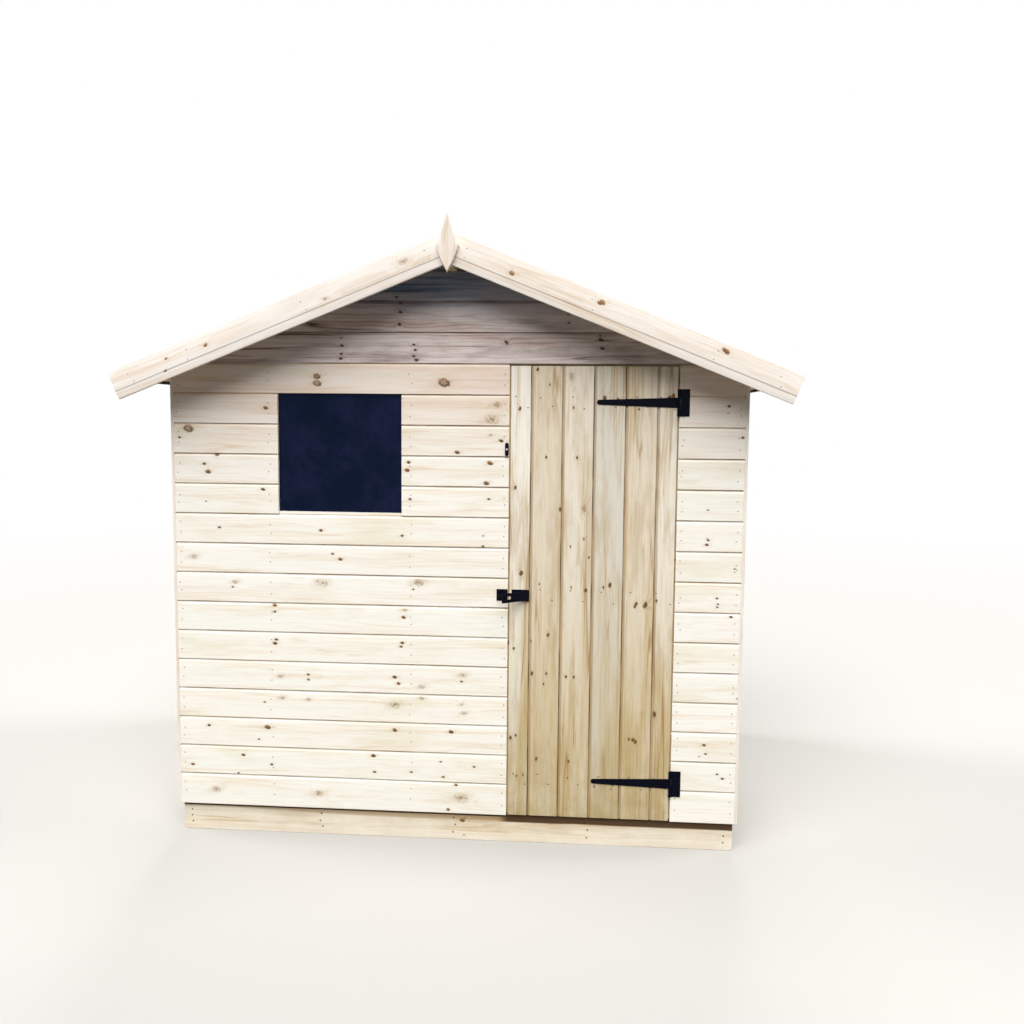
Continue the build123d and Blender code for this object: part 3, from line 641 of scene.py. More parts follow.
def setWoodData(mesh, grain, seam, faceSizes, faceBoard, pointSeed, knots):
    # every face gets the three knots of its own board that lie nearest to it
    loops = np.zeros(len(mesh.loops), np.int32)
    mesh.loops.foreach_get("vertex_index", loops)
    firsts = np.concatenate([[0], np.cumsum(faceSizes)[:-1]])
    centres = np.add.reduceat(grain[loops], firsts, axis=0) / faceSizes[:, None]
    farAway = np.array([-50.0, -50.0, 0.0001])
    nearest = np.tile(farAway, (len(faceSizes), 3, 1))
    for board, rows in enumerate(knots):
        mine = np.nonzero(faceBoard == board)[0]
        if len(rows) == 0 or len(mine) == 0:
            continue
        gap = np.hypot(centres[mine, None, 0] - rows[:, 0], centres[mine, None, 1] - rows[:, 1])
        order = np.argsort(gap - 3 * np.abs(rows[:, 2]), axis=1)[:, :3]
        nearest[mine, : order.shape[1]] = rows[order]

    def put(label, kind, domain, values):
        data = mesh.attributes.new(label, kind, domain).data
        data.foreach_set("value" if kind == "FLOAT" else "vector", values.astype(np.float32).ravel())

    put("grainPoint", "FLOAT_VECTOR", "POINT", grain)
    put("seamPlace", "FLOAT_VECTOR", "POINT", seam)
    put("boardSeed", "FLOAT", "POINT", pointSeed)
    for number, label in enumerate(("knotA", "knotB", "knotC")):
        put(label, "FLOAT_VECTOR", "CORNER", np.repeat(nearest[:, number], faceSizes, axis=0))


def addObject(name, data):
    made = bpy.data.objects.new(name, data)
    bpy.context.scene.collection.objects.link(made)
    return made


def place(mesh, name, material, body, slotName, replaced=()):
    mesh.materials.append(material)
    piece = addObject(name, mesh)
    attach(piece, body)
    if replaced:
        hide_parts(*replaced)
    return piece


def newMesh(name, points, faces, degrees=32):
    mesh = bpy.data.meshes.new(name)
    mesh.from_pydata(points, [], faces)
    mesh.shade_smooth()
    mesh.set_sharp_from_angle(angle=math.radians(degrees))
    return mesh


def boardKnots(rng, grain):
    low, high = grain.min(0), grain.max(0)
    return whorls(rng, high[0] - low[0], high[1] - low[1], start=low[0])


def woodPiece(name, boards, rng, material, slotName, replaced, knots=None, seeds=None, body="shed"):
    # joins swept boards into one mesh and gives each its own seed and knots
    offsets = np.cumsum([0] + [len(b["points"]) for b in boards])
    faces, owner = [], []
    for number, (board, offset) in enumerate(zip(boards, offsets)):
        rows = (board["quads"] + offset).tolist() + [(cap + offset).tolist() for cap in board["caps"]]
        faces += rows
        owner += [number] * len(rows)
    points, grain, seam = (np.concatenate([b[key] for b in boards]) for key in ("points", "grain", "seam"))
    mesh = newMesh(name, points, faces)
    drawn = rng.uniform(0, 1, len(boards))
    pointSeed = np.repeat(drawn if seeds is None else seeds, [len(b["points"]) for b in boards])
    if knots is None:
        knots = [boardKnots(rng, board["grain"]) for board in boards]
    sizes = np.array([len(face) for face in faces])
    setWoodData(mesh, grain, seam, sizes, np.array(owner), pointSeed, knots)
    return place(mesh, name, material, body, slotName, replaced)


def mergedShape(nodeName):
    # the node's loose triangles, merged and with flat parts made one face again
    shape = bmesh.new()
    shape.from_mesh(nodes[nodeName].data)
    bmesh.ops.remove_doubles(shape, verts=shape.verts, dist=1e-6)
    bmesh.ops.dissolve_limit(shape, angle_limit=math.radians(1), verts=shape.verts, edges=shape.edges)
    points = np.array([v.co[:] for v in shape.verts])
    faces = [[v.index for v in f.verts] for f in shape.faces]
    shape.free()
    return points, faces


def memberLabels(count, faces):
    # points that share a face end up with the same lowest number
    labels = np.arange(count)
    pairs = np.array([(face[n - 1], face[n]) for face in faces for n in range(len(face))])
    while True:
        low = np.minimum(labels[pairs[:, 0]], labels[pairs[:, 1]])
        fresh = labels.copy()
        np.minimum.at(fresh, pairs[:, 0], low)
        np.minimum.at(fresh, pairs[:, 1], low)
        if np.array_equal(fresh, labels):
            return np.unique(labels, return_inverse=True)[1]
        labels = fresh


def easedCopy(nodeName, name, material, slotName, edge, seed=None, body="shed"):
    # the node's own solids with their arrises eased; wood's grain runs along each member's longest way
    points, faces = mergedShape(nodeName)
    mesh = bpy.data.meshes.new(name)
    mesh.from_pydata(points, [], faces)
    if seed is not None:
        rng = np.random.default_rng(seed)
        labels = memberLabels(len(points), faces)
        members = labels.max() + 1
        grain, knots = np.zeros_like(points), []
        for member in range(members):
            mine = labels == member
            middle = (points[mine].min(0) + points[mine].max(0)) / 2
            ways = np.linalg.eigh(np.cov((points[mine] - middle).T))[1]
            grain[mine] = (points[mine] - middle) @ ways[:, ::-1]
            grain[mine, 1:] -= grain[mine].min(0)[1:]
            knots.append(boardKnots(rng, grain[mine]))
        sizes = np.array([len(face) for face in faces])
        owner = labels[[face[0] for face in faces]]
        pointSeed = rng.uniform(0, 1, members)[labels]
        setWoodData(mesh, grain, np.ones_like(points), sizes, owner, pointSeed, knots)
    mesh.shade_smooth()
    piece = place(mesh, name, material, body, slotName, (nodeName,))
    ease = piece.modifiers.new("easedEdges", "BEVEL")
    ease.width = edge
    ease.segments = 2
    ease.limit_method = "ANGLE"
    ease.angle_limit = math.radians(35)
    ease.harden_normals = True


# Shiplap cladding
def boardSection(low, high, lipped=True, scooped=True, thickness=None):
    # one board's section as (depth, height): face, scoop, tongue, back, rebate behind the lip
    s = shiplap
    thick = thickness or s["thickness"]
    ease = s["edgeRound"]
    behindLip = s["scoopDepth"] - 0.0003
    bottom = roundCorner((0, low), (0.01, low), (0, high), ease)
    cup = [(0.0, low + 0.003), (0.0002, low + (high - low) * 0.3), (0.0003, low + (high - low) * 0.55)]
    if scooped:
        scoop = arcPoints((0.0001, high - s["scoopHeight"]), (s["scoopDepth"], high), s["scoopSagitta"], 8)
        top = high + s["tongue"]
        face = (0, high - s["scoopHeight"] - 0.0012)
        upper = np.vstack([[face], scoop, [(s["scoopDepth"], top), (thick, top)]])
    else:
        upper = np.vstack([roundCorner((0, high), (0, low), (0.01, high), ease), [(thick, high)]])
    if lipped:
        back = [(thick, low + s["lip"]), (behindLip, low + s["lip"]), (behindLip, low)]
    else:
        back = [(thick, low)]
    return np.vstack([bottom, cup, upper, back])


def courseLevels(course):
    low = foot if course == 0 else firstJoint + course * shiplap["cover"]
    return low, firstJoint + (course + 1) * shiplap["cover"]


def wallBoards(stretches, axes, rng):
    # stretches are rows of first course, last course, start and end along the wall
    boards, endGap = [], shiplap["endGap"]
    for firstCourse, lastCourse, start, end in stretches:
        for course in range(firstCourse, lastCourse):
            low, high = courseLevels(course)
            section = boardSection(low, high, lipped=course > 0)
            board = sweptPiece(section, start + endGap, end - endGap, axes, rng, shiplap["waver"])
            boards.append(markSeams(board, section, low, high, lipped=course > 0))
    return boards


def gableBoards(axes, rng):
    # the ends follow the roof: a half length of (apex - height) over the slope
    boards, course = [], courses
    while firstJoint + course * shiplap["cover"] < apexUnder - 0.01:
        low, high = courseLevels(course)
        section = boardSection(low, high)
        section[:, 1] = np.minimum(section[:, 1], apexUnder - shiplap["apexGap"])
        half = np.maximum((apexUnder - section[:, 1]) / slope - 0.0008, 0.002)
        board = sweptPiece(section, -half, half, axes, rng, shiplap["waver"])
        boards.append(markSeams(board, section, low, high))
        course += 1
    return boards


def sharedKnots(boards, given, axes, rng, clear):
    # knots given in wall places (mm) go to the board that holds them; random ones keep right of "clear"
    origin, along = axes[0][0], axes[1][0]
    across, level, radius = np.array(given).T / 1000
    across = (across - origin) * along
    lists = []
    for board in boards:
        low, high = board["grain"].min(0), board["grain"].max(0)
        fromFoot = level - board["points"][:, 2].min()
        mine = (fromFoot >= 0) & (fromFoot < high[1]) & (across > low[0] - 0.02) & (across < high[0] + 0.02)
        free = whorls(rng, high[0] - low[0], high[1], start=low[0], size=(0.002, 0.006))
        free = free[free[:, 0] * along + origin > clear]
        lists.append(np.vstack([np.stack([across, fromFoot, radius], -1)[mine], free]))
    return lists


# the knots that show most on the front: across, height and radius in mm
frontKnots = [
    (-215, 2090, 4), (-200, 2070, 5), (-200, 2035, 5), (-205, 1990, 5), (-426, 1939, 3), (-424, 1910, 5),
    (-426, 1880, 4), (-428, 1862, 5), (-150, 1915, 4), (-145, 1895, 4), (-150, 1872, 4), (-140, 1858, 6),
    (-520, 1795, 12), (-35, 1775, 19), (-520, 1770, 14), (165, 1695, -13), (-720, 1675, 8),
    (145, 1640, -20), (-1025, 1595, 16), (140, 1580, -6), (-1060, 1560, 5), (180, 1560, 7), (15, 1515, 8),
    (-915, 1495, 7), (-170, 1475, 6), (140, 1475, 9), (-965, 1460, 6), (-175, 1445, 8), (-950, 1430, 9),
    (125, 1400, 9), (-735, 1365, 7), (135, 1340, 5), (-165, 1335, 5), (-960, 1315, 3), (-910, 1215, 5),
    (-510, 1210, 6), (115, 1200, 3), (-195, 1195, 5), (115, 1160, 5), (-465, 1120, 5), (-1015, 1100, -11),
    (-435, 1100, 7), (-132, 1017, -16), (-525, 1014, -8), (-504, 1006, -15), (-850, 1003, -9),
    (-152, 989, 4), (-860, 983, 4), (-695, 915, 7), (-185, 910, -9), (-695, 890, 5), (-190, 880, 7),
    (-690, 780, 6), (-195, 780, 6), (-695, 765, 7), (-200, 765, 5), (40, 660, -11), (-565, 645, 5),
    (-225, 645, 7), (-675, 635, -9), (35, 635, 5), (-565, 625, 5), (-210, 620, 6), (-120, 610, -10),
    (-120, 565, -9), (-670, 550, -9), (-565, 545, -7), (35, 545, -6), (-225, 535, -15), (-740, 530, 4),
    (45, 510, -9), (-225, 435, 8), (-5, 435, 8), (-965, 430, 6), (-730, 430, 10), (-765, 380, 4),
    (-310, 330, 8), (-830, 315, 6), (-45, 315, 4), (85, 300, 5), (-715, 280, 5), (-1035, 270, 6),
    (-160, 270, 5), (-305, 265, 5), (-35, 255, 5), (-850, 240, 4), (15, 225, 6), (35, 175, -20),
    (-940, 170, -13), (-525, 170, -13), (-15, 125, 6),
]
frontAxes = ((0, -halfDepth, 0), (1, 0, 0), (0, 0, 1), (0, 1, 0))
backAxes = ((0, halfDepth, 0), (-1, 0, 0), (0, 0, 1), (0, -1, 0))
windowCourses = (10, 14)
frontNodes = ("lower", "window_left", "window_right", "head", "hinge_side")


def makeCladding():
    rng = np.random.default_rng(11)
    low, high = windowCourses
    stretches = [
        (0, low, -halfWidth, openingLeft),
        (low, high, -halfWidth, windowLeft),
        (low, high, windowRight, openingLeft),
        (high, courses, -halfWidth, openingLeft),
        (0, courses, openingRight, halfWidth),
    ]
    boards = wallBoards(stretches, frontAxes, rng)
    replaced = ["front_wall_" + label for label in frontNodes]
    knots = sharedKnots(boards, frontKnots, frontAxes, rng, openingRight)
    woodPiece("front_cladding", boards, rng, shiplapPine, "cladding", replaced, knots)
    boards = gableBoards(frontAxes, rng)
    knots = sharedKnots(boards, frontKnots, frontAxes, rng, 0.1)
    woodPiece("front_gable_cladding", boards, rng, gablePineInShade, "cladding", ["front_gable"], knots)
    rng = np.random.default_rng(12)
    boards = wallBoards([(0, courses, -halfWidth, halfWidth)], backAxes, rng)
    woodPiece("back_cladding", boards, rng, shiplapPine, "cladding", ["back_wall"])
    boards = gableBoards(backAxes, rng)
    woodPiece("back_gable_cladding", boards, rng, gablePineInShade, "cladding", ["back_gable"])
    for side, label in ((-1, "left"), (1, "right")):
        sideAxes = ((side * halfWidth, 0, 0), (0, side, 0), (0, 0, 1), (-side, 0, 0))
        boards = wallBoards([(0, courses, -innerDepth, innerDepth)], sideAxes, rng)
        woodPiece(label + "_cladding", boards, rng, shiplapPine, "cladding", [label + "_wall"])


makeCladding()
print("cladding made")

# Door boards
doorLow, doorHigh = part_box("door_boards")
# seeds choose each board's tone, from the hinge side to the lock side; boards right of "hidden" get random
# knots, and ledges are the heights of the three ledges
door = {
    "edgeBoard": 0.074, "cover": 0.117, "joints": 5, "thickness": doorHigh.y - doorLow.y, "waver": 0.0003,
    "seeds": (0.15, 0.45, 1.0, 0.7, 0.33, 0.04), "hidden": 0.6, "ledges": (0.261, 0.976, 1.706),
}
# across, height and radius in mm
doorKnots = [
    (225, 420, 5), (235, 1385, 5), (235, 770, 4), (245, 430, 4), (250, 1680, 5), (250, 270, 3),
    (260, 1060, 7), (275, 275, 3), (300, 800, 3), (305, 675, 5), (315, 1825, 5), (325, 340, 5),
    (330, 1020, 3), (350, 1500, 4), (350, 635, 3), (360, 1770, 3), (360, 675, 4), (365, 825, 5),
    (405, 1305, 5), (435, 665, 4), (440, 1800, -8), (445, 1165, 3), (450, 1685, 3), (450, 1010, 3),
    (450, 335, 4), (465, 1500, 4), (465, 665, 4), (495, 1310, -9), (495, 1195, 3), (505, 1000, 5),
    (515, 1125, 3),
]


def makeDoorBoards():
    # upright boards: the section's height runs to the left, the sweep runs up
    rng = np.random.default_rng(21)
    axes = ((doorHigh.x, doorLow.y, 0), (0, 0, 1), (-1, 0, 0), (0, 1, 0))
    width = doorHigh.x - doorLow.x
    joints = [width - door["edgeBoard"] - n * door["cover"] for n in range(door["joints"])][::-1]
    edges = [0.0] + joints + [width]
    across, level, radius = np.array(doorKnots).T / 1000
    given = np.stack([level, doorHigh.x - across, radius], -1)
    boards, knots = [], []
    for number, (low, high) in enumerate(zip(edges, edges[1:])):
        parts = {"lipped": number > 0, "scooped": number < len(edges) - 2}
        section = boardSection(low, high, thickness=door["thickness"], **parts)
        board = sweptPiece(section, doorLow.z, doorHigh.z, axes, rng, door["waver"])
        boards.append(markSeams(board, section, low, high, **parts))
        rows = given[(given[:, 1] >= low) & (given[:, 1] < high)] - (0, low, 0)
        if doorHigh.x - low > door["hidden"]:
            free = whorls(rng, doorHigh.z - doorLow.z, high - low, start=doorLow.z)
            rows = np.vstack([rows, free])
        knots.append(rows)
    woodPiece("door_cladding", boards, rng, doorPine, "door", ["door_boards"], knots, door["seeds"], "door")


makeDoorBoards()
easedCopy("door_ledges", "door_ledge_timbers", framePine, "door", 0.0015, 22, "door")
easedCopy("door_braces", "door_brace_timbers", framePine, "door", 0.0015, 23, "door")
print("door made")

# Frame, floor and trim timbers: finish, slot, width of the eased edge and nodes
timbers = (
    (bargePine, "cladding", 0.0016, ("corner_strips",)),
    (rimPine, "floor", 0.0016, ("front_floor_rim", "back_floor_rim", "floor_joists")),
    (framePine, "frame", 0.0014, ("front_wall_studs", "front_wall_rails", "back_wall_studs")),
    (framePine, "frame", 0.0014, ("back_wall_rails", "side_wall_studs", "side_wall_rails")),
    (framePine, "frame", 0.0014, ("gable_rafters", "ridge_beam", "roof_purlins")),
    (bargePine, "frame", 0.0010, ("window_beads",)),
)
seed = 31
for finish, slotName, edge, names in timbers:
    for nodeName in names:
        easedCopy(nodeName, nodeName + "_timber", finish, slotName, edge, seed)
        seed += 1

deck = {"cover": 0.098, "gap": 0.0006, "groove": 0.0015, "step": 0.25}


def plankSection(low, high, thickness, groove):
    # square board with small grooves at its lower edges and smaller ones above, as (depth, height)
    g, over = groove, thickness
    top = [(over - g * 0.4, high), (over, high - g * 0.4), (over, low + g * 0.4), (over - g * 0.4, low)]
    return np.array([(0.0, low + g), (0.0, high - g), (g, high), *top, (g, low)])


def makeFloorBoards():
    # boards run across the joists, from the front rim to the back one
    rng = np.random.default_rng(51)
    low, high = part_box("floor_deck")
    count = round((high.y - low.y) / deck["cover"])
    cover = (high.y - low.y) / count
    axes = ((0, low.y, low.z), (1, 0, 0), (0, 1, 0), (0, 0, 1))
    boards = []
    for n in range(count):
        start, end = n * cover + deck["gap"] / 2, (n + 1) * cover - deck["gap"] / 2
        section = plankSection(start, end, high.z - low.z, deck["groove"])
        boards.append(sweptPiece(section, low.x, high.x, axes, rng, 0.0, deck["step"]))
    woodPiece("floor_boards", boards, rng, floorPine, "floor", ["floor_deck"])


makeFloorBoards()

roof = {
    "boardCover": 0.096, "boardThickness": 0.012, "groove": 0.0025, "gap": 0.0006, "step": 0.3,
    "ridgeGap": 0.0004, "underFelt": 0.0002,
}


def slopeAxes(side):
    # down the slope and straight out of it
    down = np.array((side * cosPitch, 0, -sinPitch))
    return down, np.array((side * sinPitch, 0, cosPitch))


def onSlope(side, along, above):
    # x and z of a place so far down a slope and so far above the roof boards' underside
    x = side * (along * cosPitch + above * sinPitch)
    return x, apexUnder - along * sinPitch + above * cosPitch


def makeRoofBoards():
    # boards run front to back, side by side down each slope, the top one mitred at the ridge
    rng = np.random.default_rng(52)
    for side, label in ((-1, "left"), (1, "right")):
        low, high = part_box(label + "_roof_boards")
        reach = max(abs(low.x), abs(high.x)) - roof["boardThickness"] * sinPitch
        length = reach / cosPitch
        count = round(length / roof["boardCover"])
        cover = length / count
        axes = ((0, 0, apexUnder), (0, 1, 0), *slopeAxes(side))
        boards = []
        for n in range(count):
            start, end = n * cover + roof["gap"] / 2, (n + 1) * cover - roof["gap"] / 2
            section = plankSection(start, end, roof["boardThickness"] - roof["underFelt"], roof["groove"])
            # nothing crosses the middle: at a height d a slope starts at -d times its rise
            if n == 0:
                atRidge = section[:, 1] < 0.01
                section[atRidge, 1] = -section[atRidge, 0] * slope + roof["ridgeGap"]
            boards.append(sweptPiece(section, -roofHalf, roofHalf, axes, rng, 0.0, roof["step"]))
        woodPiece(label + "_roof_cladding", boards, rng, roofPine, "roof_boards", [label + "_roof_boards"])


makeRoofBoards()
print("timbers made")

# Bargeboards and finials; frontKnots are along, across and radius on the board that shows most
barge = {
    "width": 0.105, "thickness": 0.016, "rise": 0.006, "strip": 0.026, "edgeRound": 0.0014,
    "scoopWidth": 0.006, "scoopDepth": 0.002, "sagitta": 0.0006, "step": 0.1,
    "frontKnots": (
        (0.178, 0.066, -0.011), (0.49, 0.05, -0.006),
        (0.963, 0.06, 0.006), (1.12, 0.07, 0.004), (1.14, 0.03, 0.004),
    ),
}


def makeBargeboards():
    # section as (depth from the face, height above the boards' underside), swept down the slope
    rng = np.random.default_rng(61)
    top = roof["boardThickness"] + felt["thickness"] + barge["rise"]
    low = top - barge["width"]
    line = low + barge["strip"]
    stripFace, back, ease = barge["scoopDepth"], barge["thickness"], barge["edgeRound"]
    scoop = arcPoints((stripFace, line), (0.0, line + barge["scoopWidth"]), barge["sagitta"], 7)
    foot = roundCorner((stripFace, low), (back, low), (stripFace, top), ease)
    head = roundCorner((0.0, top), (0.0, low), (back, top), ease)
    section = np.vstack([foot, scoop, head, [(back, top), (back, low)]])
    # the mitre: at a height h above the underside the middle lies at -h times the slope's rise
    start = -section[:, 1] * slope + 0.0002
    for frontSide, frontLabel in ((-1, "front"), (1, "back")):
        for side, label in ((-1, "left"), (1, "right")):
            name = f"{frontLabel}_{label}_bargeboard"
            boxLow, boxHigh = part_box(name)
            reach = max(abs(boxLow.x), abs(boxHigh.x))
            end = (reach - top * sinPitch) / cosPitch
            face = frontSide * (roofHalf + back)
            axes = ((0, face, apexUnder), *slopeAxes(side), (0, -frontSide, 0))
            board = sweptPiece(section, start, end, axes, rng, 0.0, barge["step"])
            knots = whorls(rng, end, barge["width"], spacing=0.4)
            if frontSide < 0 and side < 0:
                knots = np.array(barge["frontKnots"])
            woodPiece(name + "_trim", [board], rng, bargePine, "bargeboards", [name], [knots])


finial = {"drop": 0.112, "lower": 0.094, "half": 0.041, "chamfer": 0.004, "middleRing": 0.02}


def makeFinials():
    # the outline is hollow above the shoulder and full below it; rings of it step in over a chamfer
    drop, half, chamfer = finial["drop"], finial["half"], finial["chamfer"]
    upperEdge = arcPoints((0, 0), (half, -drop), 0.001, 26)
    lowerEdge = arcPoints((half, -drop), (0, -drop - finial["lower"]), -0.003, 20)
    right = np.vstack([upperEdge, lowerEdge[1:]])
    outline = np.vstack([right, right[-2:0:-1] * (-1, 1)])
    toMiddle = np.array((0.0, -drop)) - outline
    away = np.linalg.norm(toMiddle, axis=1, keepdims=True)
    for side, name in ((-1, "front_finial"), (1, "back_finial")):
        low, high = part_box(name)
        face = low.y if side < 0 else high.y
        # how far each ring lies in from the outline, and how deep behind the face
        rings = [(0.0, high.y - low.y), (0.0, chamfer), (chamfer * 0.5, 0.0009), (chamfer, 0.0)]
        rings.append((finial["middleRing"], 0.0))
        points = []
        for inset, depth in rings:
            ring = outline + toMiddle / away * np.minimum(inset, away * 0.8)
            y = np.full(len(outline), face - side * depth)
            points.append(np.stack([ring[:, 0], y, high.z + ring[:, 1]], -1))
        points = np.vstack(points)
        grain = np.stack([points[:, 2] - low.z, points[:, 0] + half, np.abs(points[:, 1] - face)], -1)
        board = outward(points, *ringQuads(len(rings), len(outline)), grain)
        rng = np.random.default_rng(62 + side)
        woodPiece(name + "_trim", [board], rng, bargePine, "bargeboards", [name], [np.zeros((0, 3))])


makeBargeboards()
makeFinials()
print("bargeboards and finials made")


# Roof felt
def feltReach(high):
    # from the ridge down to the drip, along the slope
    return (high.x - (roof["boardThickness"] + felt["thickness"]) * sinPitch) / cosPitch


def onRoof(rows, side):
    x, z = onSlope(side, rows[:, 0], rows[:, 1])
    ridge = rows[:, 0] == 0
    return np.stack([np.where(ridge, 0.0, x), np.where(ridge, apexUnder + rows[:, 1] / cosPitch, z)], -1)


def makeFelt():
    # Two eaves strips with a cap strip over the ridge. Across the roof the section climbs one slope and
    # goes down the other; along it the sheet ripples by less than a millimetre.
    base, thickness = roof["boardThickness"], felt["thickness"]
    reach, lap, drip = feltReach(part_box("roof_felt")[1]), felt["lapPlace"], base - felt["turnDown"]
    # one side from the ridge down to the drip, as (along the slope, height above the boards' underside)
    upperLevel, lowerLevel, edge = base + thickness, base + thickness - felt["step"], reach - 0.0008
    over = [(s, upperLevel) for s in (0.0, 0.1, 0.25, 0.4, lap - 0.0004)]
    over += [(s, lowerLevel) for s in (lap, lap + 0.1, lap + 0.3, reach - 0.012)]
    over = np.array(over + [(reach - 0.004, lowerLevel - 0.0004), (edge, base + 0.0002), (edge, drip)])
    under = np.array([(reach - thickness, drip), (reach - thickness, base), (0.0, base)])
    ring = np.vstack([onRoof(over, 1), onRoof(under, 1), onRoof(under, -1)[-2::-1], onRoof(over, -1)[:0:-1]])
    y = np.linspace(-roofHalf + 0.0004, roofHalf - 0.0004, felt["rows"])[:, None]
    ripple = 0.00035 * np.sin(y * 9.0 + ring[:, 0] * 3.0) + 0.0003 * np.sin(y * 23.0 + 1.3)
    upper = ring[:, 1] > apexUnder + base / cosPitch - np.abs(ring[:, 0]) * slope + 0.0005
    z = ring[:, 1] - np.where(upper, felt["sinks"] + ripple, 0.0)
    points = np.stack([np.broadcast_to(ring[:, 0], z.shape), np.broadcast_to(y, z.shape), z], -1)
    points = points.reshape(-1, 3)
    sheet = outward(points, *ringQuads(felt["rows"], len(ring)), points)
    faces = sheet["quads"].tolist() + [cap.tolist() for cap in sheet["caps"]]
    mesh = newMesh("roof_felt_sheet", sheet["points"], faces, 40)
    place(mesh, "roof_felt_sheet", mineralFelt, "shed", "felt", ("roof_felt",))


makeFelt()
print("felt made")

# Window and black fittings
nodes["window_pane"].data.materials.clear()
nodes["window_pane"].data.materials.append(glazing)
for nodeName, body, edge in (
    ("hinge_straps", "door", 0.0005),
    ("hinge_plates", "shed", 0.0005),
    ("hasp_plate", "door", 0.0004),
    ("hasp_strap", "strap", 0.0004),
    ("hasp_staple", "shed", 0.0004),
    ("turn_button", "button", 0.0004),
    ("turn_button_screw", "shed", 0.0003),
):
    # the turn button's screw is pale: partly bright steel, partly a painted highlight
    finish = brightScrewAndGlint if nodeName == "turn_button_screw" else japannedSteel
    easedCopy(nodeName, nodeName + "_steel", finish, "black_metal", edge, body=body)


# Nails and screws
def domes(name, rows, radius, height, material, body="shed", slotName="black_metal", rings=3, sides=10):
    # P(r, t) = centre + radius r (cos t, sin t) + height sqrt(1 - r^2) along the normal, with a closed foot
    rows = np.array(rows, float)
    centres, normals = rows[:, :3], rows[:, 3:]
    normals = normals / np.linalg.norm(normals, axis=1, keepdims=True)
    helper = np.where(np.abs(normals[:, 2:]) > 0.9, np.array([[1.0, 0, 0]]), np.array([[0, 0, 1.0]]))
    a = np.cross(helper, normals)
    a /= np.linalg.norm(a, axis=1, keepdims=True)
    b = np.cross(normals, a)
    inward = np.linspace(1.0, 0.45, rings)
    r = np.concatenate([[1.0], inward])[None, :, None, None]
    lift = (np.concatenate([[-0.4], np.sqrt(1 - inward**2)]) * height)[None, :, None, None]
    t = np.linspace(0, 2 * math.pi, sides, endpoint=False)
    flat = radius * (np.cos(t)[:, None] * a[:, None, :] + np.sin(t)[:, None] * b[:, None, :])
    grid = centres[:, None, None, :] + r * flat[:, None] + lift * normals[:, None, None, :]
    quads, caps = ringQuads(rings + 1, sides)
    starts = np.arange(len(centres))[:, None] * (rings + 1) * sides
    faces = (quads[None] + starts[:, None]).reshape(-1, 4).tolist()
    for cap in caps[::-1]:
        faces += (cap[None] + starts).tolist()
    place(newMesh(name, grid.reshape(-1, 3), faces, 50), name, material, body, slotName)


nails = {
    "radius": 0.0025, "height": 0.0006, "shares": (0.33, 0.65), "scatter": 0.0048, "fromEnd": 0.018,
    "stud": 0.045, "gableInset": 0.085, "sideInset": 0.038,
    "rimRadius": 0.0032, "rimHeights": (0.03, 0.058, 0.085), "joistInset": 0.022, "joists": 5,
    "bargePlaces": (0.09, 0.57, 1.03, 1.27), "bargeHeights": (-0.045, -0.012),
    "stripOut": 0.012, "stripInset": 0.022, "stripHeights": (0.2, 1.8, 0.3),
    "doorEdge": 0.037, "doorPair": ((-0.02, 0.018), (0.026, -0.02)),
    "haspHeights": (0.93, 1.02), "haspReach": 0.085,
}


def nailRows(rng, columns, firstCourse, lastCourse, normal):
    # two nails in each board at every stud, a little off their line; the normal says which wall it is
    rows = []
    for course in range(firstCourse, lastCourse):
        joint = firstJoint + course * shiplap["cover"]
        for column in columns:
            for share in nails["shares"]:
                shift = rng.normal(0, nails["scatter"], 2)
                across, up = column + shift[0] * 0.6, joint + share * shiplap["cover"] + shift[1]
                spot = (normal[0] * halfWidth, across) if normal[0] else (across, normal[1] * halfDepth)
                rows.append((*spot, up, *normal))
    return rows


